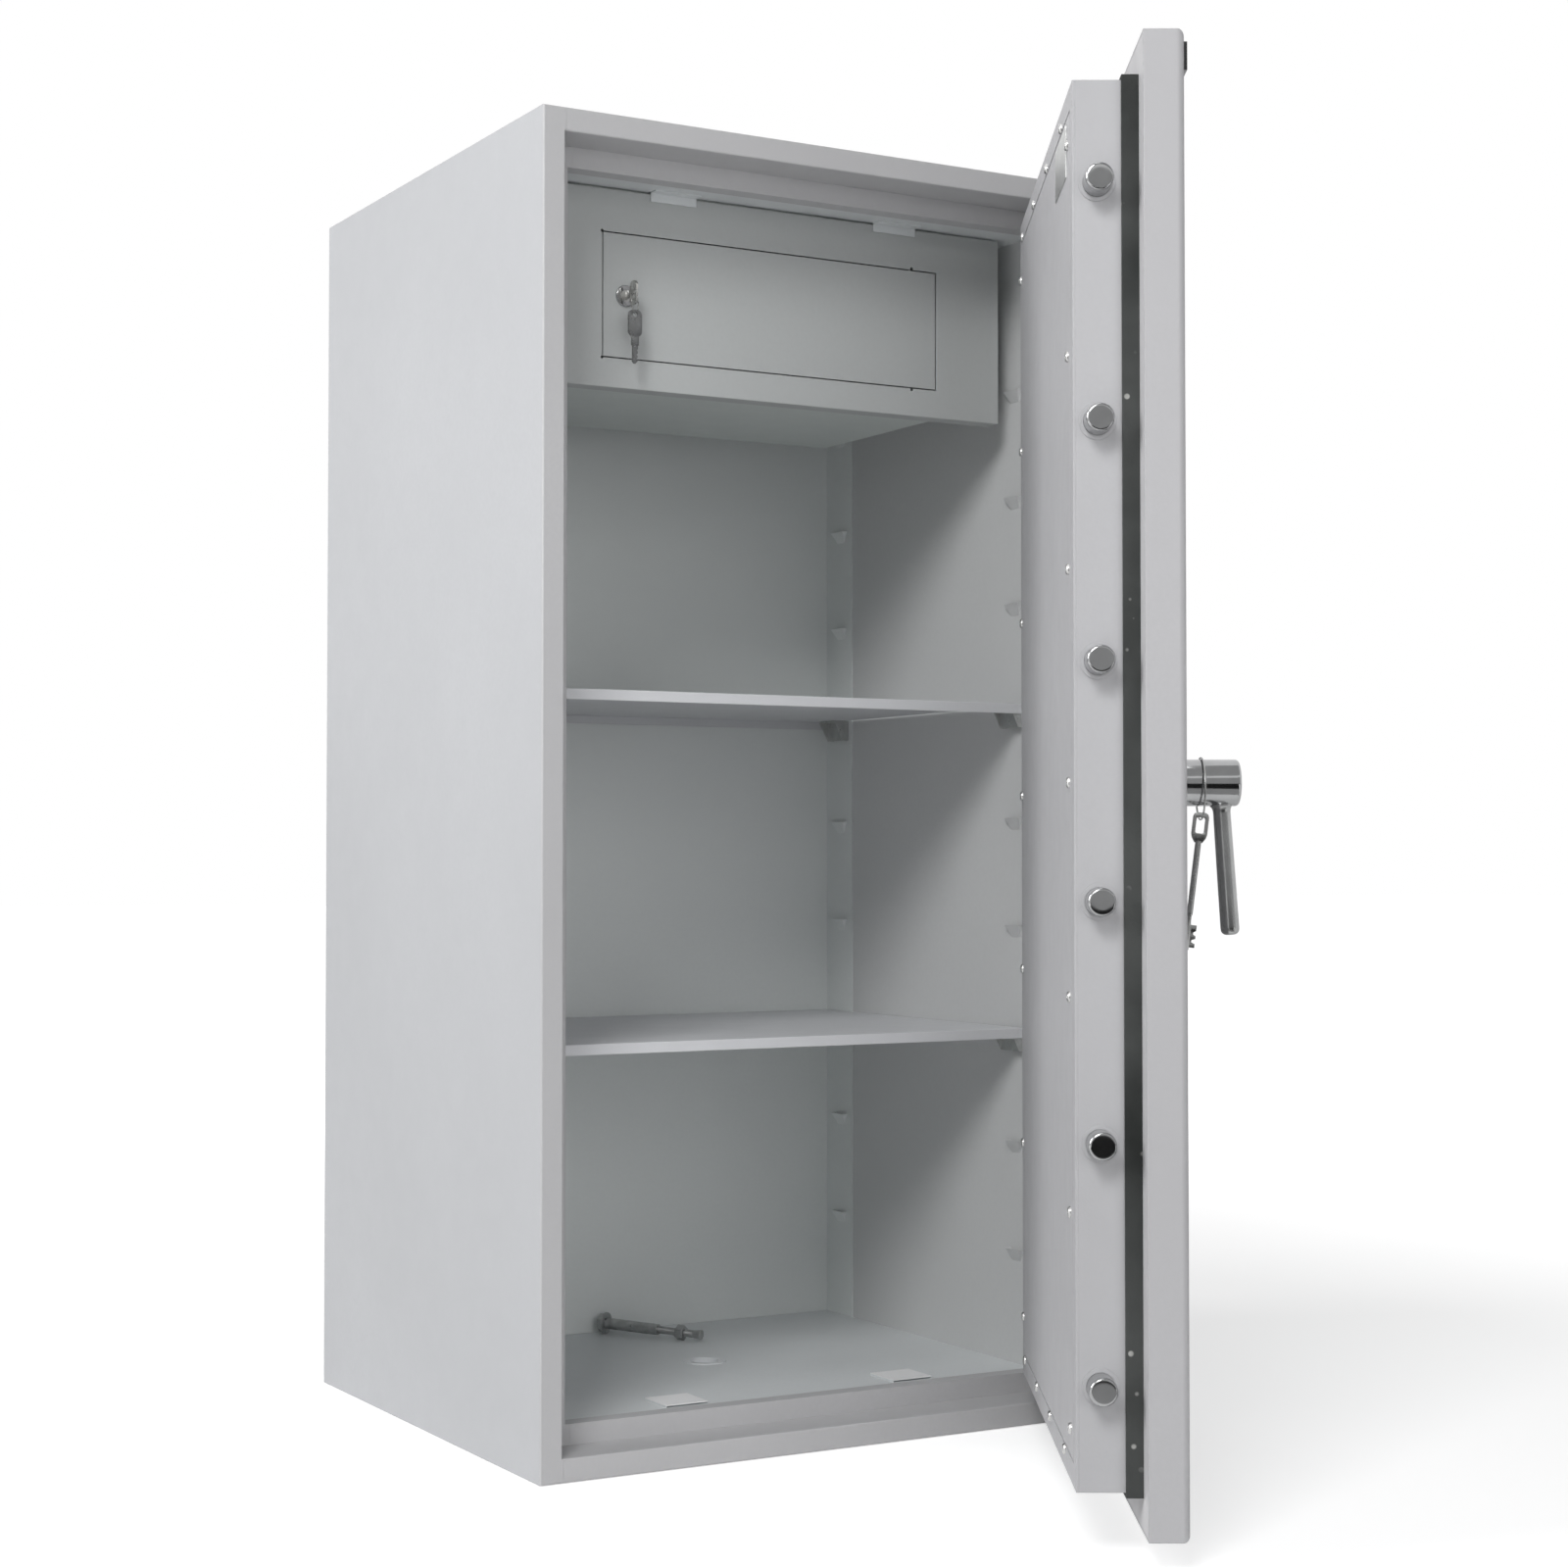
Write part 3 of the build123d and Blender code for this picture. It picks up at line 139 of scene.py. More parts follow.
def powder_coat(name, colour, bend=1.2 * mm, gloss=0.46):
    finish, tree, paint = new_finish(name)
    paler = shade(colour, 1.035)
    darker = shade(colour, 0.955)
    worn_tone = shade(colour, 1.16, 0.02)
    broad = blend_colours(tree, mottle(tree, scale=2.2), darker, paler)
    speck = mottle(tree, scale=260, detail=1, high=0.35)
    body = blend_colours(tree, speck, broad, darker)
    normal, worn = worn_edges(tree, bend)
    wire(tree, blend_colours(tree, worn, body, worn_tone), paint.inputs["Base Color"])
    rough = mottle(tree, scale=34, detail=3, low=gloss - 0.05, high=gloss + 0.06)
    smoothed_by_wear = 0.1
    smoother = calculate(tree, "MULTIPLY", worn, smoothed_by_wear)
    wire(tree, calculate(tree, "SUBTRACT", rough, smoother), paint.inputs["Roughness"])
    wire(tree, grain(tree, strength=0.22, depth=0.12 * mm, scale=520, normal=normal), paint.inputs["Normal"])
    paint.inputs["Specular IOR Level"].default_value = 0.42
    return finish


def coat(finish, *nodes):
    for name in nodes:
        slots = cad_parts[name].data.materials
        slots.clear()
        slots.append(finish)


coat(powder_coat("casing powder coat", (0.516, 0.524, 0.541)), "casing_wrap", "casing_ends")


# The front frame: folded and welded sheet that makes the rim, the rebate the
# door shuts into and the lip behind it. Same powder coat; its folds are tight,
# so they show as thin bright lines.
front = -272.5 * mm
coat(powder_coat("front frame powder coat", (0.54, 0.539, 0.548), bend=0.9 * mm), "front_frame")


# The cast filling between the sheets, in the walls and in the door: a pale,
# crumbly fireproof mix poured in wet. It is all covered in use.
def cast_mix(name, colour):
    finish, tree, mix = new_finish(name)
    pits = tree.nodes.new("ShaderNodeTexVoronoi")
    pit_scale = 130
    pits.inputs["Scale"].default_value = pit_scale
    place = tree.nodes.new("ShaderNodeTexCoord")
    wire(tree, place.outputs["Object"], pits.inputs["Vector"])
    dark = shade(colour, 0.72)
    tone = blend_colours(tree, mottle(tree, scale=14, detail=5), dark, colour)
    pale = shade(colour, 1.15)
    crumbs = mottle(tree, scale=300, high=0.6)
    wire(tree, blend_colours(tree, crumbs, tone, pale), mix.inputs["Base Color"])
    wire(tree, mottle(tree, scale=50, low=0.82, high=0.96), mix.inputs["Roughness"])
    pitted = grain(tree, strength=0.6, depth=1.2 * mm, height=pits.outputs["Distance"])
    wire(tree, pitted, mix.inputs["Normal"])
    return finish


coat(cast_mix("cast wall filling", (0.58, 0.56, 0.51)), "rim_filling", "insulation_bottom",
     "insulation_top", "insulation_left", "insulation_right", "insulation_back")
coat(cast_mix("cast door filling", (0.55, 0.53, 0.49)), "door_filling", "box_filling")


# The lining of the room: floor, ceiling and three walls of thin coated sheet.
# The back sheet laps forward along both sides. Pressed pockets in two columns
# take the shelf clips, and small tabs are lanced out of the floor and ceiling.
lining_bend = 0.7 * mm
coat(powder_coat("lining powder coat", (0.702, 0.71, 0.711), bend=lining_bend, gloss=0.5),
     "liner_left", "liner_right")
# The back, floor and ceiling sheets take the same coat as the side walls, but painted paler: painted light
# standing in for light that falls into the room.
coat(powder_coat("lining back coat with painted light", (0.85, 0.881, 0.873), bend=lining_bend, gloss=0.5), "liner_back")
floor_coat_painted_lit = powder_coat("lining floor coat with painted light", (0.757, 0.784, 0.792), bend=lining_bend, gloss=0.48)
coat(floor_coat_painted_lit, "liner_floor", "liner_ceiling")


# Everything on this coat between about 36 and 50 mm up, which is only the tops of the tabs that stand a
# little above the lining's floor, is painted near white. The same coat is on the ceiling, far above that
# band.
pale_band_starts = 35.2 * mm
pale_band_is_full = 36.2 * mm
no_pale_band_above = 60 * mm
all_pale_band_below = 50 * mm
pale_band_tone = (0.97, 0.97, 0.97)
tree = floor_coat_painted_lit.node_tree
place = tree.nodes.new("ShaderNodeTexCoord")
upright = tree.nodes.new("ShaderNodeSeparateXYZ")
wire(tree, place.outputs["Object"], upright.inputs["Vector"])
raised = tree.nodes.new("ShaderNodeMapRange")
raised.inputs["From Min"].default_value = pale_band_starts
raised.inputs["From Max"].default_value = pale_band_is_full
wire(tree, upright.outputs["Z"], raised.inputs["Value"])
low_down = tree.nodes.new("ShaderNodeMapRange")
low_down.inputs["From Min"].default_value = no_pale_band_above
low_down.inputs["From Max"].default_value = all_pale_band_below
wire(tree, upright.outputs["Z"], low_down.inputs["Value"])
pale_band = calculate(tree, "MULTIPLY", raised.outputs["Result"], low_down.outputs["Result"])
base = tree.nodes["Principled BSDF"].inputs["Base Color"]
wire(tree, blend_colours(tree, pale_band, base.links[0].from_socket, pale_band_tone), base)


# The floor anchor point: a steel tube through the cast floor, zinc plated with the
# cloudy bloom that zinc has, closed by a shallow dished cap coated like the lining.
def plated(name, colour, rough, cloud=0.14, bend=0.5 * mm, brushed=(1, 1, 1), depth=0.02 * mm):
    finish, tree, metal = new_finish(name)
    dull = shade(colour, 1 - cloud)
    bright = shade(colour, 1 + cloud / 2)
    tone = blend_colours(tree, mottle(tree, scale=90, detail=4), dull, bright)
    normal, worn = worn_edges(tree, bend)
    edge_tone = shade(colour, 1.25)
    wire(tree, blend_colours(tree, worn, tone, edge_tone), metal.inputs["Base Color"])
    metal.inputs["Metallic"].default_value = 1.0
    uneven = mottle(tree, scale=160, detail=3, low=rough * 0.75, high=rough * 1.3)
    wire(tree, uneven, metal.inputs["Roughness"])
    lines = mottle(tree, scale=420, stretch=brushed)
    wire(tree, grain(tree, strength=0.3, depth=depth, height=lines, normal=normal), metal.inputs["Normal"])
    return finish


zinc = (0.56, 0.57, 0.57)
coat(plated("zinc plated anchor tube", zinc, rough=0.4), "anchor_tube")
# The cap is painted as pale as the floor lining, so it carries the same painted light.
coat(powder_coat("anchor cap coat", (0.765, 0.785, 0.8), bend=0.8 * mm, gloss=0.4), "anchor_cap")


# The loose floor anchor lies on the lining near the back left: a hexagon-headed
# bolt with a washer, a waisted expanding sleeve, a nut and a coned end.
# Cold formed and rolled steel, zinc plated.
def along_shape(name, rings, closed_ends=True, loop=False):
    # a skin over rings of points, each ring with the same number of points
    mesh = bpy.data.meshes.new(name)
    bm = bmesh.new()
    made = [[bm.verts.new(p) for p in ring] for ring in rings]
    count = len(made[0])
    pairs = list(zip(made, made[1:]))
    if loop:
        pairs.append((made[-1], made[0]))
    for low, high in pairs:
        for i in range(count):
            j = (i + 1) % count
            bm.faces.new((low[i], low[j], high[j], high[i]))
    if closed_ends and not loop:
        bm.faces.new(list(reversed(made[0])))
        bm.faces.new(made[-1])
    bmesh.ops.recalc_face_normals(bm, faces=bm.faces)
    bm.to_mesh(mesh)
    bm.free()
    return mesh


def circle(radius, height, steps):
    turns = [2 * pi * k / steps for k in range(steps)]
    return [(radius * cos(turn), radius * sin(turn), height) for turn in turns]


def turned(name, outline, steps=64):
    # (height, radius) points turned about +Z, the two ends closed
    return along_shape(name, [circle(radius, height, steps) for height, radius in outline])


def tube(name, outline, steps=64):
    # (height, radius) points of a closed section turned about +Z
    return along_shape(name, [circle(radius, height, steps) for height, radius in outline], loop=True)


def hexagon(name, across, low, high, crown=0.9 * mm):
    rings = []
    for height, share in ((low, 0.9), (low + crown, 1.0), (high - crown, 1.0), (high, 0.9)):
        reach = across / sqrt(3) * share
        rings.append([(reach * cos(pi * k / 3), reach * sin(pi * k / 3), height) for k in range(6)])
    return along_shape(name, rings)


def joined(name, meshes):
    bm = bmesh.new()
    for mesh in meshes:
        bm.from_mesh(mesh)
        bpy.data.meshes.remove(mesh)
    mesh = bpy.data.meshes.new(name)
    bm.to_mesh(mesh)
    bm.free()
    return mesh


def soften(mesh, angle=35):
    # smooth shading that keeps edges sharper than the angle
    bm = bmesh.new()
    bm.from_mesh(mesh)
    for face in bm.faces:
        face.smooth = True
    for edge in bm.edges:
        if len(edge.link_faces) == 2 and edge.calc_face_angle(0) > radians(angle):
            edge.smooth = False
    bm.to_mesh(mesh)
    bm.free()


def fit_piece(name, mesh, finish, body, stands_for, angle=35):
    soften(mesh, angle)
    mesh.materials.clear()
    mesh.materials.append(finish)
    piece = bpy.data.objects.new(name, mesh)
    scene.collection.objects.link(piece)
    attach(piece, body)
    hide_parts(*stands_for)
    return piece


anchor_head_flat = 17 * mm
anchor_nut_flat = 14 * mm
anchor_head = 6.5 * mm
anchor_washer = 2 * mm
anchor_washer_reach = 11.5 * mm
anchor_rod = 4 * mm
thread_pitch = 1.25 * mm
thread_depth = 0.45 * mm
nut_low = 93 * mm
nut_high = 102 * mm
nut_past_washer = 94.5 * mm
head_rise = 7.5 * mm
lies_at = (-18 * mm, front + 472 * mm, 45.6 * mm)
lies_turned = radians(-54.8)


def threaded(name, reach, low, high, steps=20, per_turn=6):
    rings = []
    height = low
    while height < high + 1e-9:
        ring = []
        for k in range(steps):
            phase = (height / thread_pitch - k / steps) % 1
            groove = thread_depth * abs(2 * phase - 1)
            ring.append(((reach - groove) * cos(2 * pi * k / steps),
                         (reach - groove) * sin(2 * pi * k / steps), height))
        rings.append(ring)
        height += thread_pitch / per_turn
    return along_shape(name, rings)


# it rests on the rim of its washer and on a corner of its nut, so it lies a little tilted
anchor_tilt = asin((anchor_washer_reach - anchor_nut_flat / sqrt(3)) / nut_past_washer)
anchor_place = (Matrix.Translation(lies_at)
                @ Matrix.Rotation(lies_turned, 4, "Z")
                @ Matrix.Rotation(pi / 2 + anchor_tilt, 4, "Y")
                @ Matrix.Translation((0, 0, -head_rise)))
bolt = joined("loose_anchor_bolt", [
    hexagon("head", anchor_head_flat, low=0, high=anchor_head),
    turned("shank", [(6 * mm, 3.9 * mm), (72 * mm, 3.9 * mm)], steps=24),
    threaded("thread", anchor_rod, low=70 * mm, high=113 * mm),
    turned("cone", [(112.4 * mm, 3.6 * mm), (113 * mm, 4 * mm), (121 * mm, 5.15 * mm),
                    (121.8 * mm, 4.9 * mm), (122 * mm, 4.4 * mm)], steps=28),
])
bolt.transform(anchor_place)
zinc_bolt = plated("zinc plated anchor bolt", (0.5, 0.505, 0.5), rough=0.34, cloud=0.2)
fit_piece("loose_anchor_bolt", bolt, zinc_bolt, "cabinet", ["anchor_bolt"])

washer_low = anchor_head
sleeve_low = anchor_head + anchor_washer
sleeve_high = sleeve_low + 62 * mm
fittings = joined("loose_anchor_fittings", [
    tube("washer", [(washer_low, 4.1 * mm), (washer_low, 11.2 * mm),
                    (washer_low + 0.3 * mm, anchor_washer_reach),
                    (sleeve_low - 0.3 * mm, anchor_washer_reach),
                    (sleeve_low, 11.2 * mm), (sleeve_low, 4.1 * mm)], steps=48),
    tube("sleeve", [(sleeve_low, 4.2 * mm), (sleeve_low, 5.7 * mm), (sleeve_low + 4 * mm, 5.75 * mm),
                    (sleeve_low + 4.6 * mm, 5.4 * mm), (sleeve_low + 5.4 * mm, 5.4 * mm),
                    (sleeve_low + 6 * mm, 5.8 * mm), (sleeve_high - 20 * mm, 5.8 * mm),
                    (sleeve_high, 5.75 * mm), (sleeve_high, 4.2 * mm)], steps=40),
    hexagon("nut", anchor_nut_flat, nut_low, nut_high),
])
fittings.transform(anchor_place)
fit_piece("loose_anchor_fittings", fittings, zinc_bolt, "cabinet", ["anchor_fittings"])


# The strike strip behind the left wall of the lining, a bare zinc plated flat bar
# that the thrown bolts bear on.
coat(plated("zinc plated strike strip", zinc, rough=0.38, brushed=(1, 1, 0.06)), "strike_strip")


# Two shelves, folded from coated sheet with a soft bend along the front edge, and
# the eight pressed clips that carry them, hooked into the pockets of the lining.
coat(powder_coat("shelf powder coat", (0.711, 0.72, 0.739), bend=1.0 * mm), "upper_shelf", "lower_shelf")
coat(plated("zinc plated shelf clips", (0.6, 0.61, 0.6), rough=0.36), "shelf_clips")


# The lockable compartment under the ceiling: a folded box behind a face sheet,
# screwed to the ceiling, with an inset door that swings on two pins.
# One coat in truth: the face sheet and the door are painted darker as painted shade for their place deep in
# the room, and the box paler as painted light on its underside.
coat(powder_coat("compartment face coat with painted shade", (0.488, 0.505, 0.502), bend=0.8 * mm), "locker_faceplate")
coat(powder_coat("compartment box coat with painted light", (0.602, 0.643, 0.624), bend=0.7 * mm), "locker_shell")
coat(powder_coat("compartment door coat with painted shade", (0.483, 0.5, 0.497), bend=0.9 * mm), "locker_door")
coat(plated("zinc plated compartment screws and pins", zinc, rough=0.33), "locker_screws", "locker_pins")


# The cam lock of the compartment: a chromed collar and barrel held by a nut, with
# a turning plug, a cam behind it and a key left in it. A second, duller key hangs
# from the first on a split ring of thin wire.
def bright_plate(name, colour, rough, smear=0.05):
    finish, tree, metal = new_finish(name)
    dull = shade(colour, 0.9)
    tone = blend_colours(tree, mottle(tree, scale=70, detail=3), dull, colour)
    wire(tree, tone, metal.inputs["Base Color"])
    metal.inputs["Metallic"].default_value = 1.0
    wire(tree, mottle(tree, scale=45, detail=4, low=rough, high=rough + smear), metal.inputs["Roughness"])
    normal, worn = worn_edges(tree, reach=0.35 * mm)
    orange_peel = grain(tree, strength=0.12, depth=0.01 * mm, scale=120, normal=normal)
    wire(tree, orange_peel, metal.inputs["Normal"])
    return finish


chrome = bright_plate("bright chrome", (0.45, 0.455, 0.46), rough=0.08)
coat(chrome, "locker_lock")
coat(plated("zinc plated plug and cam", (0.5, 0.5, 0.49), rough=0.3), "locker_plug")


def split_ring(name, reach, wire_reach, steps=72, turns=2, sides=10):
    # two turns of round wire wound side by side, in the XZ plane about the origin
    rings = []
    total = steps * turns
    for i in range(total + 1):
        turn = 2 * pi * i / steps
        across = wire_reach * (2 * i / total - 1)
        centre = Vector((reach * cos(turn), across, reach * sin(turn)))
        out = Vector((cos(turn), 0, sin(turn)))
        side = Vector((0, 1, 0))
        rings.append([centre + wire_reach * (out * cos(2 * pi * k / sides) + side * sin(2 * pi * k / sides))
                      for k in range(sides)])
    return along_shape(name, rings)


def plate_from(name, outer, holes, thick, round_edge):
    # a flat blank cut to an outline in the XZ plane, with its edges eased, thick along Y
    curve = bpy.data.curves.new(name, "CURVE")
    curve.dimensions = "2D"
    curve.fill_mode = "BOTH"
    curve.extrude = thick / 2 - round_edge
    curve.bevel_depth = round_edge
    curve.offset = -round_edge
    curve.bevel_resolution = 1
    for outline in [outer] + holes:
        spline = curve.splines.new("POLY")
        spline.points.add(len(outline) - 1)
        for point, (x, z) in zip(spline.points, outline):
            point.co = (x, z, 0, 1)
        spline.use_cyclic_u = True
    blank = bpy.data.objects.new(name, curve)
    scene.collection.objects.link(blank)
    bpy.context.view_layer.update()
    mesh = bpy.data.meshes.new_from_object(blank.evaluated_get(bpy.context.evaluated_depsgraph_get()))
    bpy.data.objects.remove(blank)
    bpy.data.curves.remove(curve)
    mesh.transform(Matrix.Rotation(pi / 2, 4, "X"))
    bm = bmesh.new()
    bm.from_mesh(mesh)
    bmesh.ops.remove_doubles(bm, verts=bm.verts, dist=1e-6)
    bmesh.ops.recalc_face_normals(bm, faces=bm.faces)
    bm.to_mesh(mesh)
    bm.free()
    return mesh


def arc(cx, cz, reach, start, end, count):
    turns = [radians(start + (end - start) * i / (count - 1)) for i in range(count)]
    return [(cx + reach * cos(turn), cz + reach * sin(turn)) for turn in turns]


def rounded_outline(width, height, corner, cx=0.0, cz=0.0, count=6):
    x = width / 2 - corner
    z = height / 2 - corner
    points = []
    for sx, sz, start in ((1, 1, 0), (-1, 1, 90), (-1, -1, 180), (1, -1, 270)):
        points += arc(cx + sx * x, cz + sz * z, corner, start, start + 90, count)
    return points


small_lock_x = -175.1 * mm
small_lock_z = 1065.1 * mm
compartment_y = front + 112 * mm
key_stands_out = 25 * mm
small_key_front = compartment_y - key_stands_out
small_hole_y = small_key_front + 4.5 * mm
small_key_thick = 2 * mm
small_hole = 2.5 * mm
bow_width = 14 * mm
bow_corner = 5 * mm
nickel = plated("nickel plated small keys", (0.53, 0.53, 0.51), rough=0.26, cloud=0.1)

# the key in the lock is drawn lying along X in the XZ plane, then stood along Y
bow = plate_from("bow", rounded_outline(bow_width, 22.6 * mm, bow_corner),
                 [arc(-2.5 * mm, 0, small_hole, 0, 345, count=20)], small_key_thick, round_edge=0.25 * mm)
blade_outline = [(6, -3.5), (6, 3.5), (31, 3.5), (33, 2), (33, -1), (31, -3.5)]
blade = plate_from("blade", [(x * mm, z * mm) for x, z in blade_outline], [], small_key_thick,
                   round_edge=0.2 * mm)
key = joined("small_key_in_lock", [bow, blade])
key.transform(Matrix.Translation((small_lock_x, small_key_front + 7 * mm, small_lock_z))
              @ Matrix.Rotation(pi / 2, 4, "Z"))
fit_piece("small_key_in_lock", key, nickel, "locker_lock", ["locker_key"])

ring_drop = 10.5 * mm
small_ring_z = small_lock_z - ring_drop
ring = split_ring("small_key_ring", reach=9.5 * mm, wire_reach=0.3 * mm, steps=48)
ring.transform(Matrix.Translation((small_lock_x, small_hole_y, small_ring_z))
               @ Matrix.Rotation(pi / 4, 4, "Z"))
fit_piece("small_key_ring", ring, nickel, "locker_key_ring", ["locker_key_ring"], angle=60)

spare_length = 25 * mm
spare_hole_z = small_ring_z - ring_drop
spare_z = spare_hole_z + 4.5 * mm - spare_length / 2
cuts = [(3.8, -12), (3.8, -20.5), (2.8, -21), (2.8, -24), (1.6, -25), (2.6, -26.2), (2.6, -28), (1.2, -29.2),
        (2.4, -30.4), (2.4, -32), (1.4, -33.4), (2.7, -34.8), (0.6, -37.5), (-1.4, -37.5), (-2.8, -35.5),
        (-2.8, -21), (-3.8, -20.5), (-3.8, -12)]
spare = joined("small_spare_key", [
    plate_from("bow", rounded_outline(bow_width, spare_length, bow_corner),
               [arc(0, 8 * mm, small_hole, 0, 345, count=20)], small_key_thick, round_edge=0.25 * mm),
    plate_from("blade", [(x * mm, z * mm) for x, z in cuts], [], small_key_thick, round_edge=0.2 * mm),
])
spare.transform(Matrix.Translation((small_lock_x, small_hole_y, spare_z)))
dark_nickel = plated("nickel plated spare key", (0.23, 0.235, 0.235), rough=0.3, cloud=0.12)
fit_piece("small_spare_key", spare, dark_nickel, "locker_spare_key", ["locker_spare_key"])


# The door: a pressed outer skin, its filling, a plate behind it, a shallow box
# that holds the bolt work, and a screwed cover with a shallow groove near its
# edge. All of it is coated like the body, in greys that differ a little by sheet.
coat(powder_coat("door skin powder coat", (0.498, 0.496, 0.51), bend=1.2 * mm), "door_skin")
coat(powder_coat("door plate powder coat", (0.602, 0.598, 0.612), bend=0.8 * mm), "door_plate")
coat(powder_coat("door box powder coat", (0.48, 0.48, 0.494), bend=1.0 * mm), "door_box", "bolt_bushes")
coat(powder_coat("back cover powder coat", (0.506, 0.504, 0.52), bend=0.8 * mm, gloss=0.5), "back_cover")


# Twenty-two pan head screws hold the cover. Zinc plated, each with a cross
# recess that stopped at its own angle when it was driven.
hinge_line = Vector((294 * mm, -281 * mm, 0))
open_by = radians(60)
door_stands = (Matrix.Translation(hinge_line) @ Matrix.Rotation(open_by, 4, "Z")
               @ Matrix.Translation(-hinge_line))
cover_y = front + 83.5 * mm


def pan_head(name, reach, height, steps=32, recess_reach=0.5, recess_half_width=0.13, recess_depth=0.5):
    rings = []
    for share, rise in ((1.0, 0.0), (1.0, 0.25), (0.96, 0.5), (0.86, 0.74), (0.7, 0.9), (0.55, 0.97),
                        (0.45, 0.99), (0.35, 1.0), (0.26, 1.0), (0.16, 1.0), (0.07, 1.0)):
        ring = []
        for k in range(steps):
            turn = 2 * pi * k / steps
            x = reach * share * cos(turn)
            z = reach * share * sin(turn)
            drop = 0.0
            if share < recess_reach and min(abs(x), abs(z)) < recess_half_width * reach:
                drop = recess_depth * height
            ring.append((x, z, height * rise - drop))
        rings.append(ring)
    return along_shape(name, rings)


def repeat_on_points(name, single, points, seed, finish, swing):
    # a small tree that sets one piece on every point, each turned by its own angle
    tree = bpy.data.node_groups.new(name + " tree", "GeometryNodeTree")
    face = tree.interface
    face.new_socket("Geometry", in_out="INPUT", socket_type="NodeSocketGeometry")
    size_in = face.new_socket("Size", in_out="INPUT", socket_type="NodeSocketFloat")
    swing_in = face.new_socket("Greatest turn", in_out="INPUT", socket_type="NodeSocketFloat")
    seed_in = face.new_socket("Seed", in_out="INPUT", socket_type="NodeSocketInt")
    face.new_socket("Geometry", in_out="OUTPUT", socket_type="NodeSocketGeometry")
    start = tree.nodes.new("NodeGroupInput")
    end = tree.nodes.new("NodeGroupOutput")
    source = tree.nodes.new("GeometryNodeObjectInfo")
    source.inputs["Object"].default_value = single
    chance = tree.nodes.new("FunctionNodeRandomValue")
    angle = tree.nodes.new("ShaderNodeCombineXYZ")
    spread = tree.nodes.new("GeometryNodeInstanceOnPoints")
    real = tree.nodes.new("GeometryNodeRealizeInstances")
    dress = tree.nodes.new("GeometryNodeSetMaterial")
    dress.inputs["Material"].default_value = finish
    wire(tree, start.outputs["Geometry"], spread.inputs["Points"])
    wire(tree, source.outputs["Geometry"], spread.inputs["Instance"])
    wire(tree, start.outputs["Greatest turn"], chance.inputs[3])
    wire(tree, start.outputs["Seed"], chance.inputs["Seed"])
    wire(tree, chance.outputs[1], angle.inputs["Z"])
    wire(tree, angle.outputs["Vector"], spread.inputs["Rotation"])
    wire(tree, start.outputs["Size"], spread.inputs["Scale"])
    wire(tree, spread.outputs["Instances"], real.inputs["Geometry"])
    wire(tree, real.outputs["Geometry"], dress.inputs["Geometry"])
    wire(tree, dress.outputs["Geometry"], end.inputs["Geometry"])
    spots = bpy.data.meshes.new(name + " spots")
    spots.from_pydata(points, [], [])
    carrier = bpy.data.objects.new(name, spots)
    scene.collection.objects.link(carrier)
    row = carrier.modifiers.new("row", "NODES")
    row.node_group = tree
    row[size_in.identifier] = 1.0
    row[swing_in.identifier] = swing
    row[seed_in.identifier] = seed
    bpy.context.view_layer.update()
    mesh = bpy.data.meshes.new_from_object(carrier.evaluated_get(bpy.context.evaluated_depsgraph_get()))
    bpy.data.objects.remove(carrier)
    bpy.data.objects.remove(single)
    return mesh


def loose_object(name, mesh):
    made = bpy.data.objects.new(name, mesh)
    scene.collection.objects.link(made)
    return made


# where the screws stand, in millimetres across and up the door
cover_middle = 600
lock_side, lock_pitch = -219.4, 168
hinge_side, hinge_pitch = 225.0, 164
lowest, highest = 70, 1130
screw_spots = [(lock_side, cover_middle + lock_pitch * k) for k in range(-3, 4)]
screw_spots += [(hinge_side, cover_middle + hinge_pitch * k) for k in range(-3, 4)]
for x in (-172, -45, 82, 209):
    screw_spots += [(x, lowest), (x, highest)]
head = pan_head("cover screw", reach=4.5 * mm, height=2.6 * mm)
screw_finish = plated("zinc plated cover screws", (0.66, 0.66, 0.65), rough=0.24, bend=0.3 * mm)
# drawn with the heads up along Z over the XY plane, then stood up against the cover
flat_points = [(x * mm, -z * mm, 0) for x, z in screw_spots]
screws = repeat_on_points("cover_screw_heads", loose_object("one cover screw", head), flat_points,
                          seed=11, finish=screw_finish, swing=1.5)
screws.transform(door_stands @ Matrix.Translation((0, cover_y, 0)) @ Matrix.Rotation(-pi / 2, 4, "X"))
fit_piece("cover_screw_heads", screws, screw_finish, "door", ["cover_screws"], angle=40)


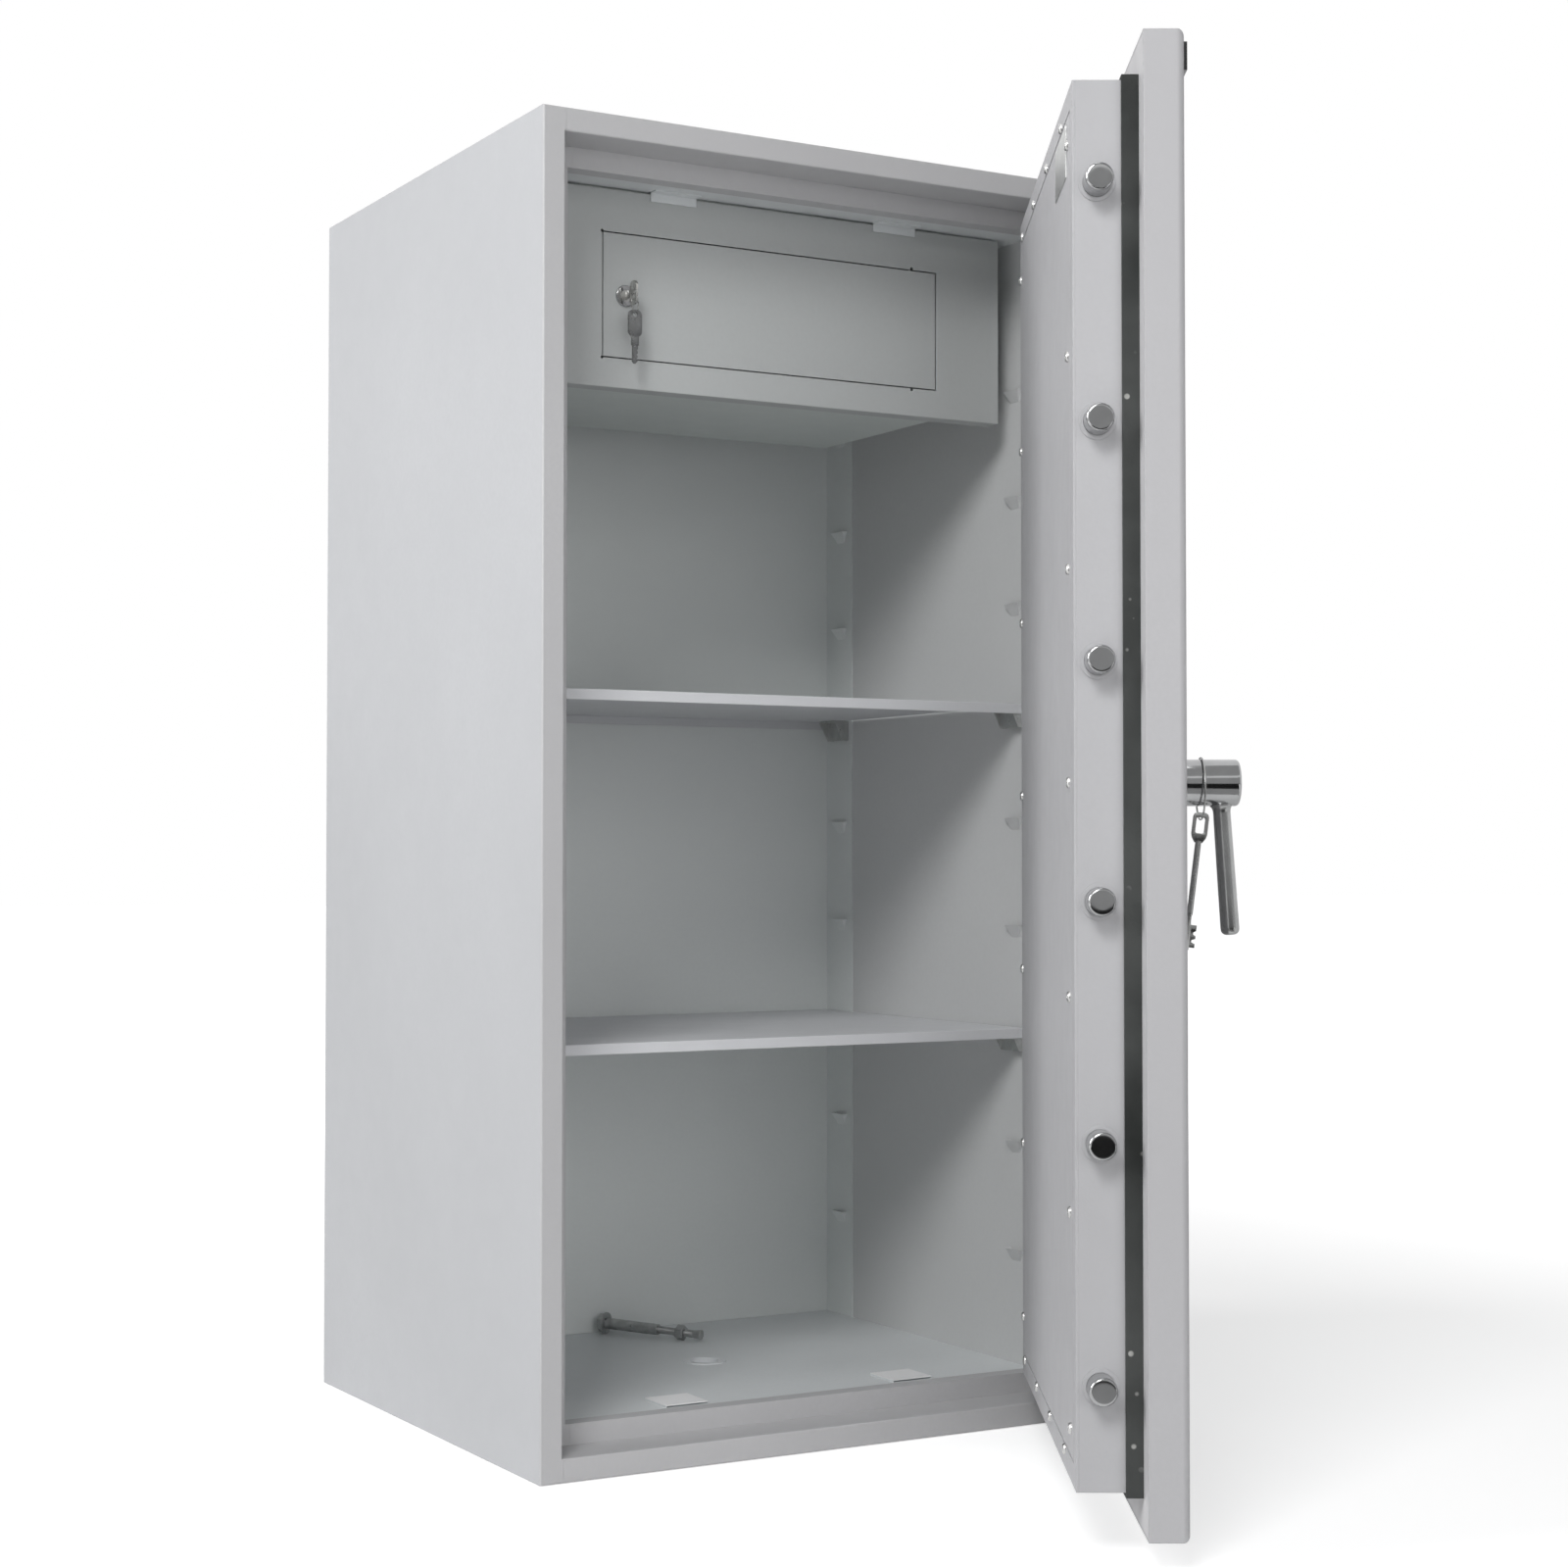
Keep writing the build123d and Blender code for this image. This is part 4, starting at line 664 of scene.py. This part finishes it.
# The fire seal: a dark strip of swelling compound glued round the foot of the
# box, flecked with pale mineral specks.
def seal_strip(name):
    finish, tree, strip = new_finish(name)
    place = tree.nodes.new("ShaderNodeTexCoord")
    flecks = tree.nodes.new("ShaderNodeTexVoronoi")
    fleck_scale = 62
    fleck_core, fleck_rim = 0.1, 0.16
    flecks.inputs["Scale"].default_value = fleck_scale
    wire(tree, place.outputs["Object"], flecks.inputs["Vector"])
    spot = tree.nodes.new("ShaderNodeMapRange")
    spot.inputs["From Min"].default_value = fleck_core
    spot.inputs["From Max"].default_value = fleck_rim
    spot.inputs["To Min"].default_value = 1.0
    spot.inputs["To Max"].default_value = 0.0
    wire(tree, flecks.outputs["Distance"], spot.inputs["Value"])
    here_and_there = mottle(tree, scale=40, detail=1, low=-0.6, high=1.2)
    few = calculate(tree, "MULTIPLY", spot.outputs["Result"], here_and_there)
    sooty = (0.022, 0.024, 0.023)
    dusty = (0.075, 0.079, 0.077)
    mineral = (0.5, 0.5, 0.48)
    tone = blend_colours(tree, mottle(tree, scale=9, detail=3), sooty, dusty)
    wire(tree, blend_colours(tree, few, tone, mineral), strip.inputs["Base Color"])
    wire(tree, mottle(tree, scale=80, low=0.68, high=0.85), strip.inputs["Roughness"])
    strip.inputs["Specular IOR Level"].default_value = 0.15
    wire(tree, grain(tree, strength=0.4, depth=0.25 * mm, scale=300), strip.inputs["Normal"])
    return finish


coat(seal_strip("swelling fire seal"), "fire_seal")


# Six live bolts of turned and chromed steel bar with well rounded ends, pinned to
# one flat bar inside the box, running in pressed-in bushes painted with the box.
bolt_y = front + 64.5 * mm
bolt_tip_x = -278.7 * mm
bolt_r = 11 * mm
bolt_length = 82.7 * mm
tip_ease = 2.2 * mm
bolt_outline = [(0.0, 0.2 * mm), (0.0, 5 * mm), (0.0, 8.6 * mm)]
for a in (15, 30, 45, 60, 75, 90):
    bolt_outline.append((tip_ease * (1 - cos(radians(a))), bolt_r - tip_ease * (1 - sin(radians(a)))))
bolt_outline += [(3 * mm, bolt_r), (40 * mm, bolt_r), (bolt_length, bolt_r)]
one_bolt = turned("live bolt", bolt_outline)
bolt_points = [(0, z * mm, 0) for z in (135, 321, 507, 693, 879, 1065)]
bolts = repeat_on_points("live_bolts", loose_object("one live bolt", one_bolt), bolt_points,
                         seed=3, finish=chrome, swing=0.0)
# the row lies along Y with its bolts along Z, and is stood up with them along X
bolts.transform(door_stands @ Matrix.Translation((bolt_tip_x, bolt_y, 0))
                @ Matrix(((0, 0, 1, 0), (1, 0, 0, 0), (0, 1, 0, 0), (0, 0, 0, 1))))
fit_piece("live_bolts", bolts, chrome, "bolt_work", ["lock_bolts"], angle=40)
coat(plated("zinc plated bolt bar", zinc, rough=0.36, brushed=(1, 1, 0.08)), "bolt_bar", "guide_studs")


# The handle: a chromed hub turned from bar, with a slightly domed end, and a
# satin lever screwed into its side that widens a little down to a rounded end.
hub_x = -210 * mm
handle_z = 600 * mm
lever_y = front - 36 * mm
lever_lean = radians(-3.75)
hub_outline = [(0.62, 0.2), (0.62, 17.9), (1.0, 18.4), (2, 18.5), (47.5, 18.5), (48.9, 18.25), (49.9, 17.6),
               (50.6, 16.6), (51.1, 15.0), (51.5, 12), (51.8, 8), (51.95, 4), (52.0, 0.3)]
hub = turned("handle_hub_turned", [(h * mm, r * mm) for h, r in hub_outline], steps=96)
out_of_door = Matrix.Translation((hub_x, front, handle_z)) @ Matrix.Rotation(pi / 2, 4, "X")
hub.transform(door_stands @ out_of_door)
hub_chrome = bright_plate("bright chrome hub", (0.45, 0.455, 0.46), rough=0.09, smear=0.05)
fit_piece("handle_hub_turned", hub, hub_chrome, "handle", ["handle_hub"], angle=30)

lever_outline = [(-120, 0.2), (-120, 3.2), (-119.5, 5.0), (-118.2, 6.5), (-116.5, 7.25), (-114, 7.42),
                 (-90, 7.3), (-60, 7.12), (-35, 6.95), (-24, 6.85), (-21.5, 7.0), (-19.6, 7.7), (-18.4, 9.0),
                 (-17, 9.0), (-14, 6)]
lever = turned("handle_lever_turned", [(h * mm, r * mm) for h, r in lever_outline])
lever.transform(door_stands @ Matrix.Translation((hub_x, lever_y, handle_z))
                @ Matrix.Rotation(lever_lean, 4, "X"))
satin = bright_plate("satin chrome lever", (0.42, 0.425, 0.425), rough=0.2, smear=0.08)
fit_piece("handle_lever_turned", lever, satin, "handle", ["handle_lever"], angle=30)
coat(plated("zinc plated spindle and crank", zinc, rough=0.35), "handle_spindle", "handle_crank")


# The lock case on the door plate with its tongue, and the two steel tubes that
# line the spindle hole and the keyhole. On the front, a satin plate with a
# swinging cover guards the keyhole.
coat(plated("zinc plated lock case", (0.58, 0.59, 0.58), rough=0.38),
     "lock_case", "lock_tongue", "door_tubes")
coat(bright_plate("satin keyhole plate", (0.56, 0.565, 0.565), rough=0.24, smear=0.08),
     "keyhole_plate", "keyhole_cover")


# The door key on its split ring, hung over the hub: nickel plated steel with a
# flat windowed bow, a round shank and a bit cut on both sides.
key_nickel = plated("nickel plated door key", (0.47, 0.475, 0.47), rough=0.28, cloud=0.12, bend=0.4 * mm)
ring_y = front - 21 * mm
ring_z = 595.3 * mm
key_z = 570.8 * mm
key_lean = radians(7)
key_thick = 3 * mm
ring = split_ring("door_key_ring", reach=24.5 * mm, wire_reach=0.5 * mm, steps=110)
ring.transform(door_stands @ Matrix.Translation((hub_x, ring_y, ring_z)))
fit_piece("door_key_ring", ring, key_nickel, "key_ring", ["key_ring"], angle=60)

bow_outline = [(-3.4, 5.8), (3.4, 5.8), (5.4, 4.6), (6.25, 2.2), (6.25, -11.5), (5.4, -14.5), (3.0, -18.2),
               (-3.0, -18.2), (-5.4, -14.5), (-6.25, -11.5), (-6.25, 2.2), (-5.4, 4.6)]
window = rounded_outline(width=7 * mm, height=12.5 * mm, corner=1.6 * mm, cz=-4.45 * mm)
bit_outline = [(-1.5, -83), (6.5, -83), (6.5, -85.2), (4.0, -86.4), (4.0, -88.0), (6.5, -89.2),
               (6.5, -91.0), (3.2, -92.2), (3.2, -93.8), (6.5, -95.0), (6.5, -101), (-6.5, -101),
               (-6.5, -97.8), (-3.6, -96.6), (-3.6, -95.0), (-6.5, -93.8), (-6.5, -91.6), (-4.4, -90.4),
               (-4.4, -88.8), (-6.5, -87.6), (-6.5, -83)]
shank_outline = [(-103.2, 0.3), (-103.2, 1.9), (-102.8, 2.3), (-101, 2.4), (-84, 2.4), (-82.6, 2.0),
                 (-80, 1.75), (-76.5, 1.75), (-75, 2.3), (-73, 2.4), (-22, 2.4), (-20.8, 2.4), (-20, 2.4),
                 (-17, 2.3), (-16.8, 0.3)]
key = joined("door_key_cut", [
    plate_from("bow", [(x * mm, z * mm) for x, z in bow_outline], [window], key_thick, round_edge=0.5 * mm),
    plate_from("bit", [(x * mm, z * mm) for x, z in bit_outline], [], key_thick, round_edge=0.25 * mm),
    turned("shank", [(h * mm, r * mm) for h, r in shank_outline], steps=32),
])
key.transform(door_stands @ Matrix.Translation((hub_x, ring_y, key_z))
              @ Matrix.Rotation(key_lean, 4, "X") @ Matrix.Rotation(pi / 2, 4, "Z"))
fit_piece("door_key_cut", key, key_nickel, "door_key", ["door_key"])


# Two pin hinges on the outside right edge: coated leaves on the frame and straps
# on the door, turning on capped zinc plated pins with a washer between.
coat(powder_coat("hinge powder coat", (0.59, 0.59, 0.602), bend=0.8 * mm), "hinge_leaves", "hinge_straps")
coat(plated("zinc plated hinge pins", zinc, rough=0.3), "hinge_pins")


# Two blank plates: a satin aluminium one at the head of the back cover, and a
# small gloss black badge at the top outer corner of the door.
coat(bright_plate("satin aluminium plate", (0.62, 0.63, 0.62), rough=0.32, smear=0.05), "data_plate")


def gloss_black(name):
    finish, tree, plastic = new_finish(name)
    deep = (0.012, 0.012, 0.013)
    cloudy = (0.022, 0.022, 0.024)
    rubbed_edge = (0.09, 0.09, 0.09)
    normal, worn = worn_edges(tree, reach=0.6 * mm)
    tone = blend_colours(tree, mottle(tree, scale=30, detail=3), deep, cloudy)
    wire(tree, blend_colours(tree, worn, tone, rubbed_edge), plastic.inputs["Base Color"])
    wire(tree, mottle(tree, scale=50, detail=3, low=0.14, high=0.26), plastic.inputs["Roughness"])
    moulded = grain(tree, strength=0.06, depth=0.05 * mm, scale=200, normal=normal)
    wire(tree, moulded, plastic.inputs["Normal"])
    return finish


coat(gloss_black("gloss black badge"), "badge")


# The studio: a pale floor that keeps the safe's shadow, white all round, soft lamps
# from the left, the front and above, a weaker one from the right behind, and a
# little even light from everywhere else.
floor_reach = 30
floor_low = -0.6 * mm
floor_corners = [(-floor_reach, -floor_reach, floor_low), (floor_reach, -floor_reach, floor_low),
                 (floor_reach, floor_reach, floor_low), (-floor_reach, floor_reach, floor_low)]
floor_mesh = bpy.data.meshes.new("studio_floor")
floor_mesh.from_pydata(floor_corners, [], [(0, 1, 2, 3)])
floor = loose_object("studio_floor", floor_mesh)
floor_paint = bpy.data.materials.new("pale studio floor")
floor_paint.use_nodes = True
tree = floor_paint.node_tree
tree.nodes.clear()
rays = tree.nodes.new("ShaderNodeLightPath")
floor_in_metal = 0.6
mirrored = calculate(tree, "MULTIPLY", rays.outputs["Is Glossy Ray"], floor_in_metal)
seen = calculate(tree, "ADD", calculate(tree, "ADD", rays.outputs["Is Camera Ray"], mirrored),
                 rays.outputs["Is Transmission Ray"])
matt = tree.nodes.new("ShaderNodeBsdfDiffuse")
matt.inputs["Color"].default_value = (0.8, 0.8, 0.8, 1)
glow = tree.nodes.new("ShaderNodeEmission")
glow.inputs["Color"].default_value = (1, 1, 1, 1)
place = tree.nodes.new("ShaderNodeTexCoord")
away = tree.nodes.new("ShaderNodeVectorMath")
away.operation = "LENGTH"
wire(tree, place.outputs["Object"], away.inputs[0])
fade = tree.nodes.new("ShaderNodeMapRange")
fade_starts, fade_ends = 1.0, 3.2
glow_by_safe, glow_far_off = 0.56, 1.0
fade.inputs["From Min"].default_value = fade_starts
fade.inputs["From Max"].default_value = fade_ends
fade.inputs["To Min"].default_value = glow_by_safe
fade.inputs["To Max"].default_value = glow_far_off
wire(tree, away.outputs["Value"], fade.inputs["Value"])
wire(tree, calculate(tree, "MULTIPLY", seen, fade.outputs["Result"]), glow.inputs["Strength"])
both = tree.nodes.new("ShaderNodeAddShader")
end = tree.nodes.new("ShaderNodeOutputMaterial")
wire(tree, matt.outputs[0], both.inputs[0])
wire(tree, glow.outputs[0], both.inputs[1])
wire(tree, both.outputs[0], end.inputs["Surface"])
floor_mesh.materials.append(floor_paint)

world = bpy.data.worlds.new("studio")
scene.world = world
world.use_nodes = True
tree = world.node_tree
tree.nodes.clear()
rays = tree.nodes.new("ShaderNodeLightPath")
looked_at = calculate(tree, "ADD", rays.outputs["Is Camera Ray"], rays.outputs["Is Glossy Ray"])
seen = calculate(tree, "ADD", looked_at, rays.outputs["Is Transmission Ray"])
soft = tree.nodes.new("ShaderNodeBackground")
soft.inputs["Color"].default_value = (0.97, 0.985, 1.0, 1)
soft.inputs["Strength"].default_value = 0.1
white = tree.nodes.new("ShaderNodeBackground")
white.inputs["Color"].default_value = (1, 1, 1, 1)
white.inputs["Strength"].default_value = 1.0
either = tree.nodes.new("ShaderNodeMixShader")
end = tree.nodes.new("ShaderNodeOutputWorld")
wire(tree, seen, either.inputs["Fac"])
wire(tree, soft.outputs[0], either.inputs[1])
wire(tree, white.outputs[0], either.inputs[2])
wire(tree, either.outputs[0], end.inputs["Surface"])


def soft_lamp(name, place, aim, width, height, power):
    lamp = bpy.data.lights.new(name, "AREA")
    lamp.shape = "RECTANGLE"
    lamp.size = width
    lamp.size_y = height
    lamp.energy = power
    holder = bpy.data.objects.new(name, lamp)
    scene.collection.objects.link(holder)
    holder.location = place
    holder.rotation_euler = (Vector(aim) - Vector(place)).to_track_quat("-Z", "Y").to_euler()
    return holder


# places and sizes in metres, power in watts; the front and right lamps aren't seen in the chrome
soft_lamp("left lamp", place=(-4.25, 0.7, 2.3), aim=(0, 0, 0.7), width=2.4, height=2.0, power=108)
front_lamp = soft_lamp("front lamp", place=(-0.7, -4.6, 1.1), aim=(0, 0, 0.6), width=2.2, height=2.2,
                       power=37)
front_lamp.visible_glossy = False
soft_lamp("overhead lamp", place=(-0.4, -1.1, 4.8), aim=(-0.1, -0.5, 0), width=1.2, height=1.2, power=12)
right_lamp = soft_lamp("right lamp", place=(4.1, 1.6, 1.9), aim=(0, 0, 0.6), width=2.2, height=2.2,
                       power=30)
right_lamp.visible_glossy = False
soft_lamp("corner lamp", place=(-2.9, -3.1, 3.4), aim=(0, 0, 0.4), width=1.6, height=1.6, power=113)


def grey_card(name, left, right, low_edge, high_edge, tone_value):
    # a large card that only polished metal sees, as a photographer stands one behind the
    # camera; each edge is a distance along Y and a height
    mesh = bpy.data.meshes.new(name)
    corners = [(left, *low_edge), (right, *low_edge), (right, *high_edge), (left, *high_edge)]
    mesh.from_pydata(corners, [], [(0, 1, 2, 3)])
    card = loose_object(name, mesh)
    surface = bpy.data.materials.new(name)
    surface.use_nodes = True
    tree = surface.node_tree
    tree.nodes.clear()
    tone = tree.nodes.new("ShaderNodeEmission")
    tone.inputs["Color"].default_value = (tone_value, tone_value, tone_value, 1)
    end = tree.nodes.new("ShaderNodeOutputMaterial")
    wire(tree, tone.outputs[0], end.inputs["Surface"])
    mesh.materials.append(surface)
    card.visible_camera = False
    card.visible_diffuse = False
    card.visible_transmission = False
    card.visible_volume_scatter = False
    card.visible_shadow = False


on_floor = 1 * mm
nearly_black = 0.02
grey_card("low_card", -6, 3.5, low_edge=(-5.6, 0), high_edge=(-5.6, 2.7), tone_value=0.44)
grey_card("dark_card", -2.4, 0.4, low_edge=(-3.2, 0), high_edge=(-3.2, 0.36), tone_value=nearly_black)
grey_card("dark_floor_card", -2.4, 0.4, low_edge=(-3.2, on_floor), high_edge=(-1.75, on_floor),
          tone_value=nearly_black)
grey_card("grey_floor_card", -2.0, 0.4, low_edge=(-1.75, on_floor), high_edge=(-1.1, on_floor),
          tone_value=0.4)
grey_card("high_card", -6, 3.5, low_edge=(-5.4, 3.6), high_edge=(-1.0, 5.5), tone_value=0.45)


# The camera stands to the left at half the safe's height, level but for a hair.
lens = bpy.data.cameras.new("camera")
lens.lens = 62.07
lens.sensor_width = 36
camera = bpy.data.objects.new("camera", lens)
scene.collection.objects.link(camera)
camera.location = (-1.2881, -2.4132, 0.5385)
camera.rotation_euler = Euler((radians(91.628), radians(0.0), radians(-29.673)))
scene.camera = camera

scene.view_settings.view_transform = "Standard"
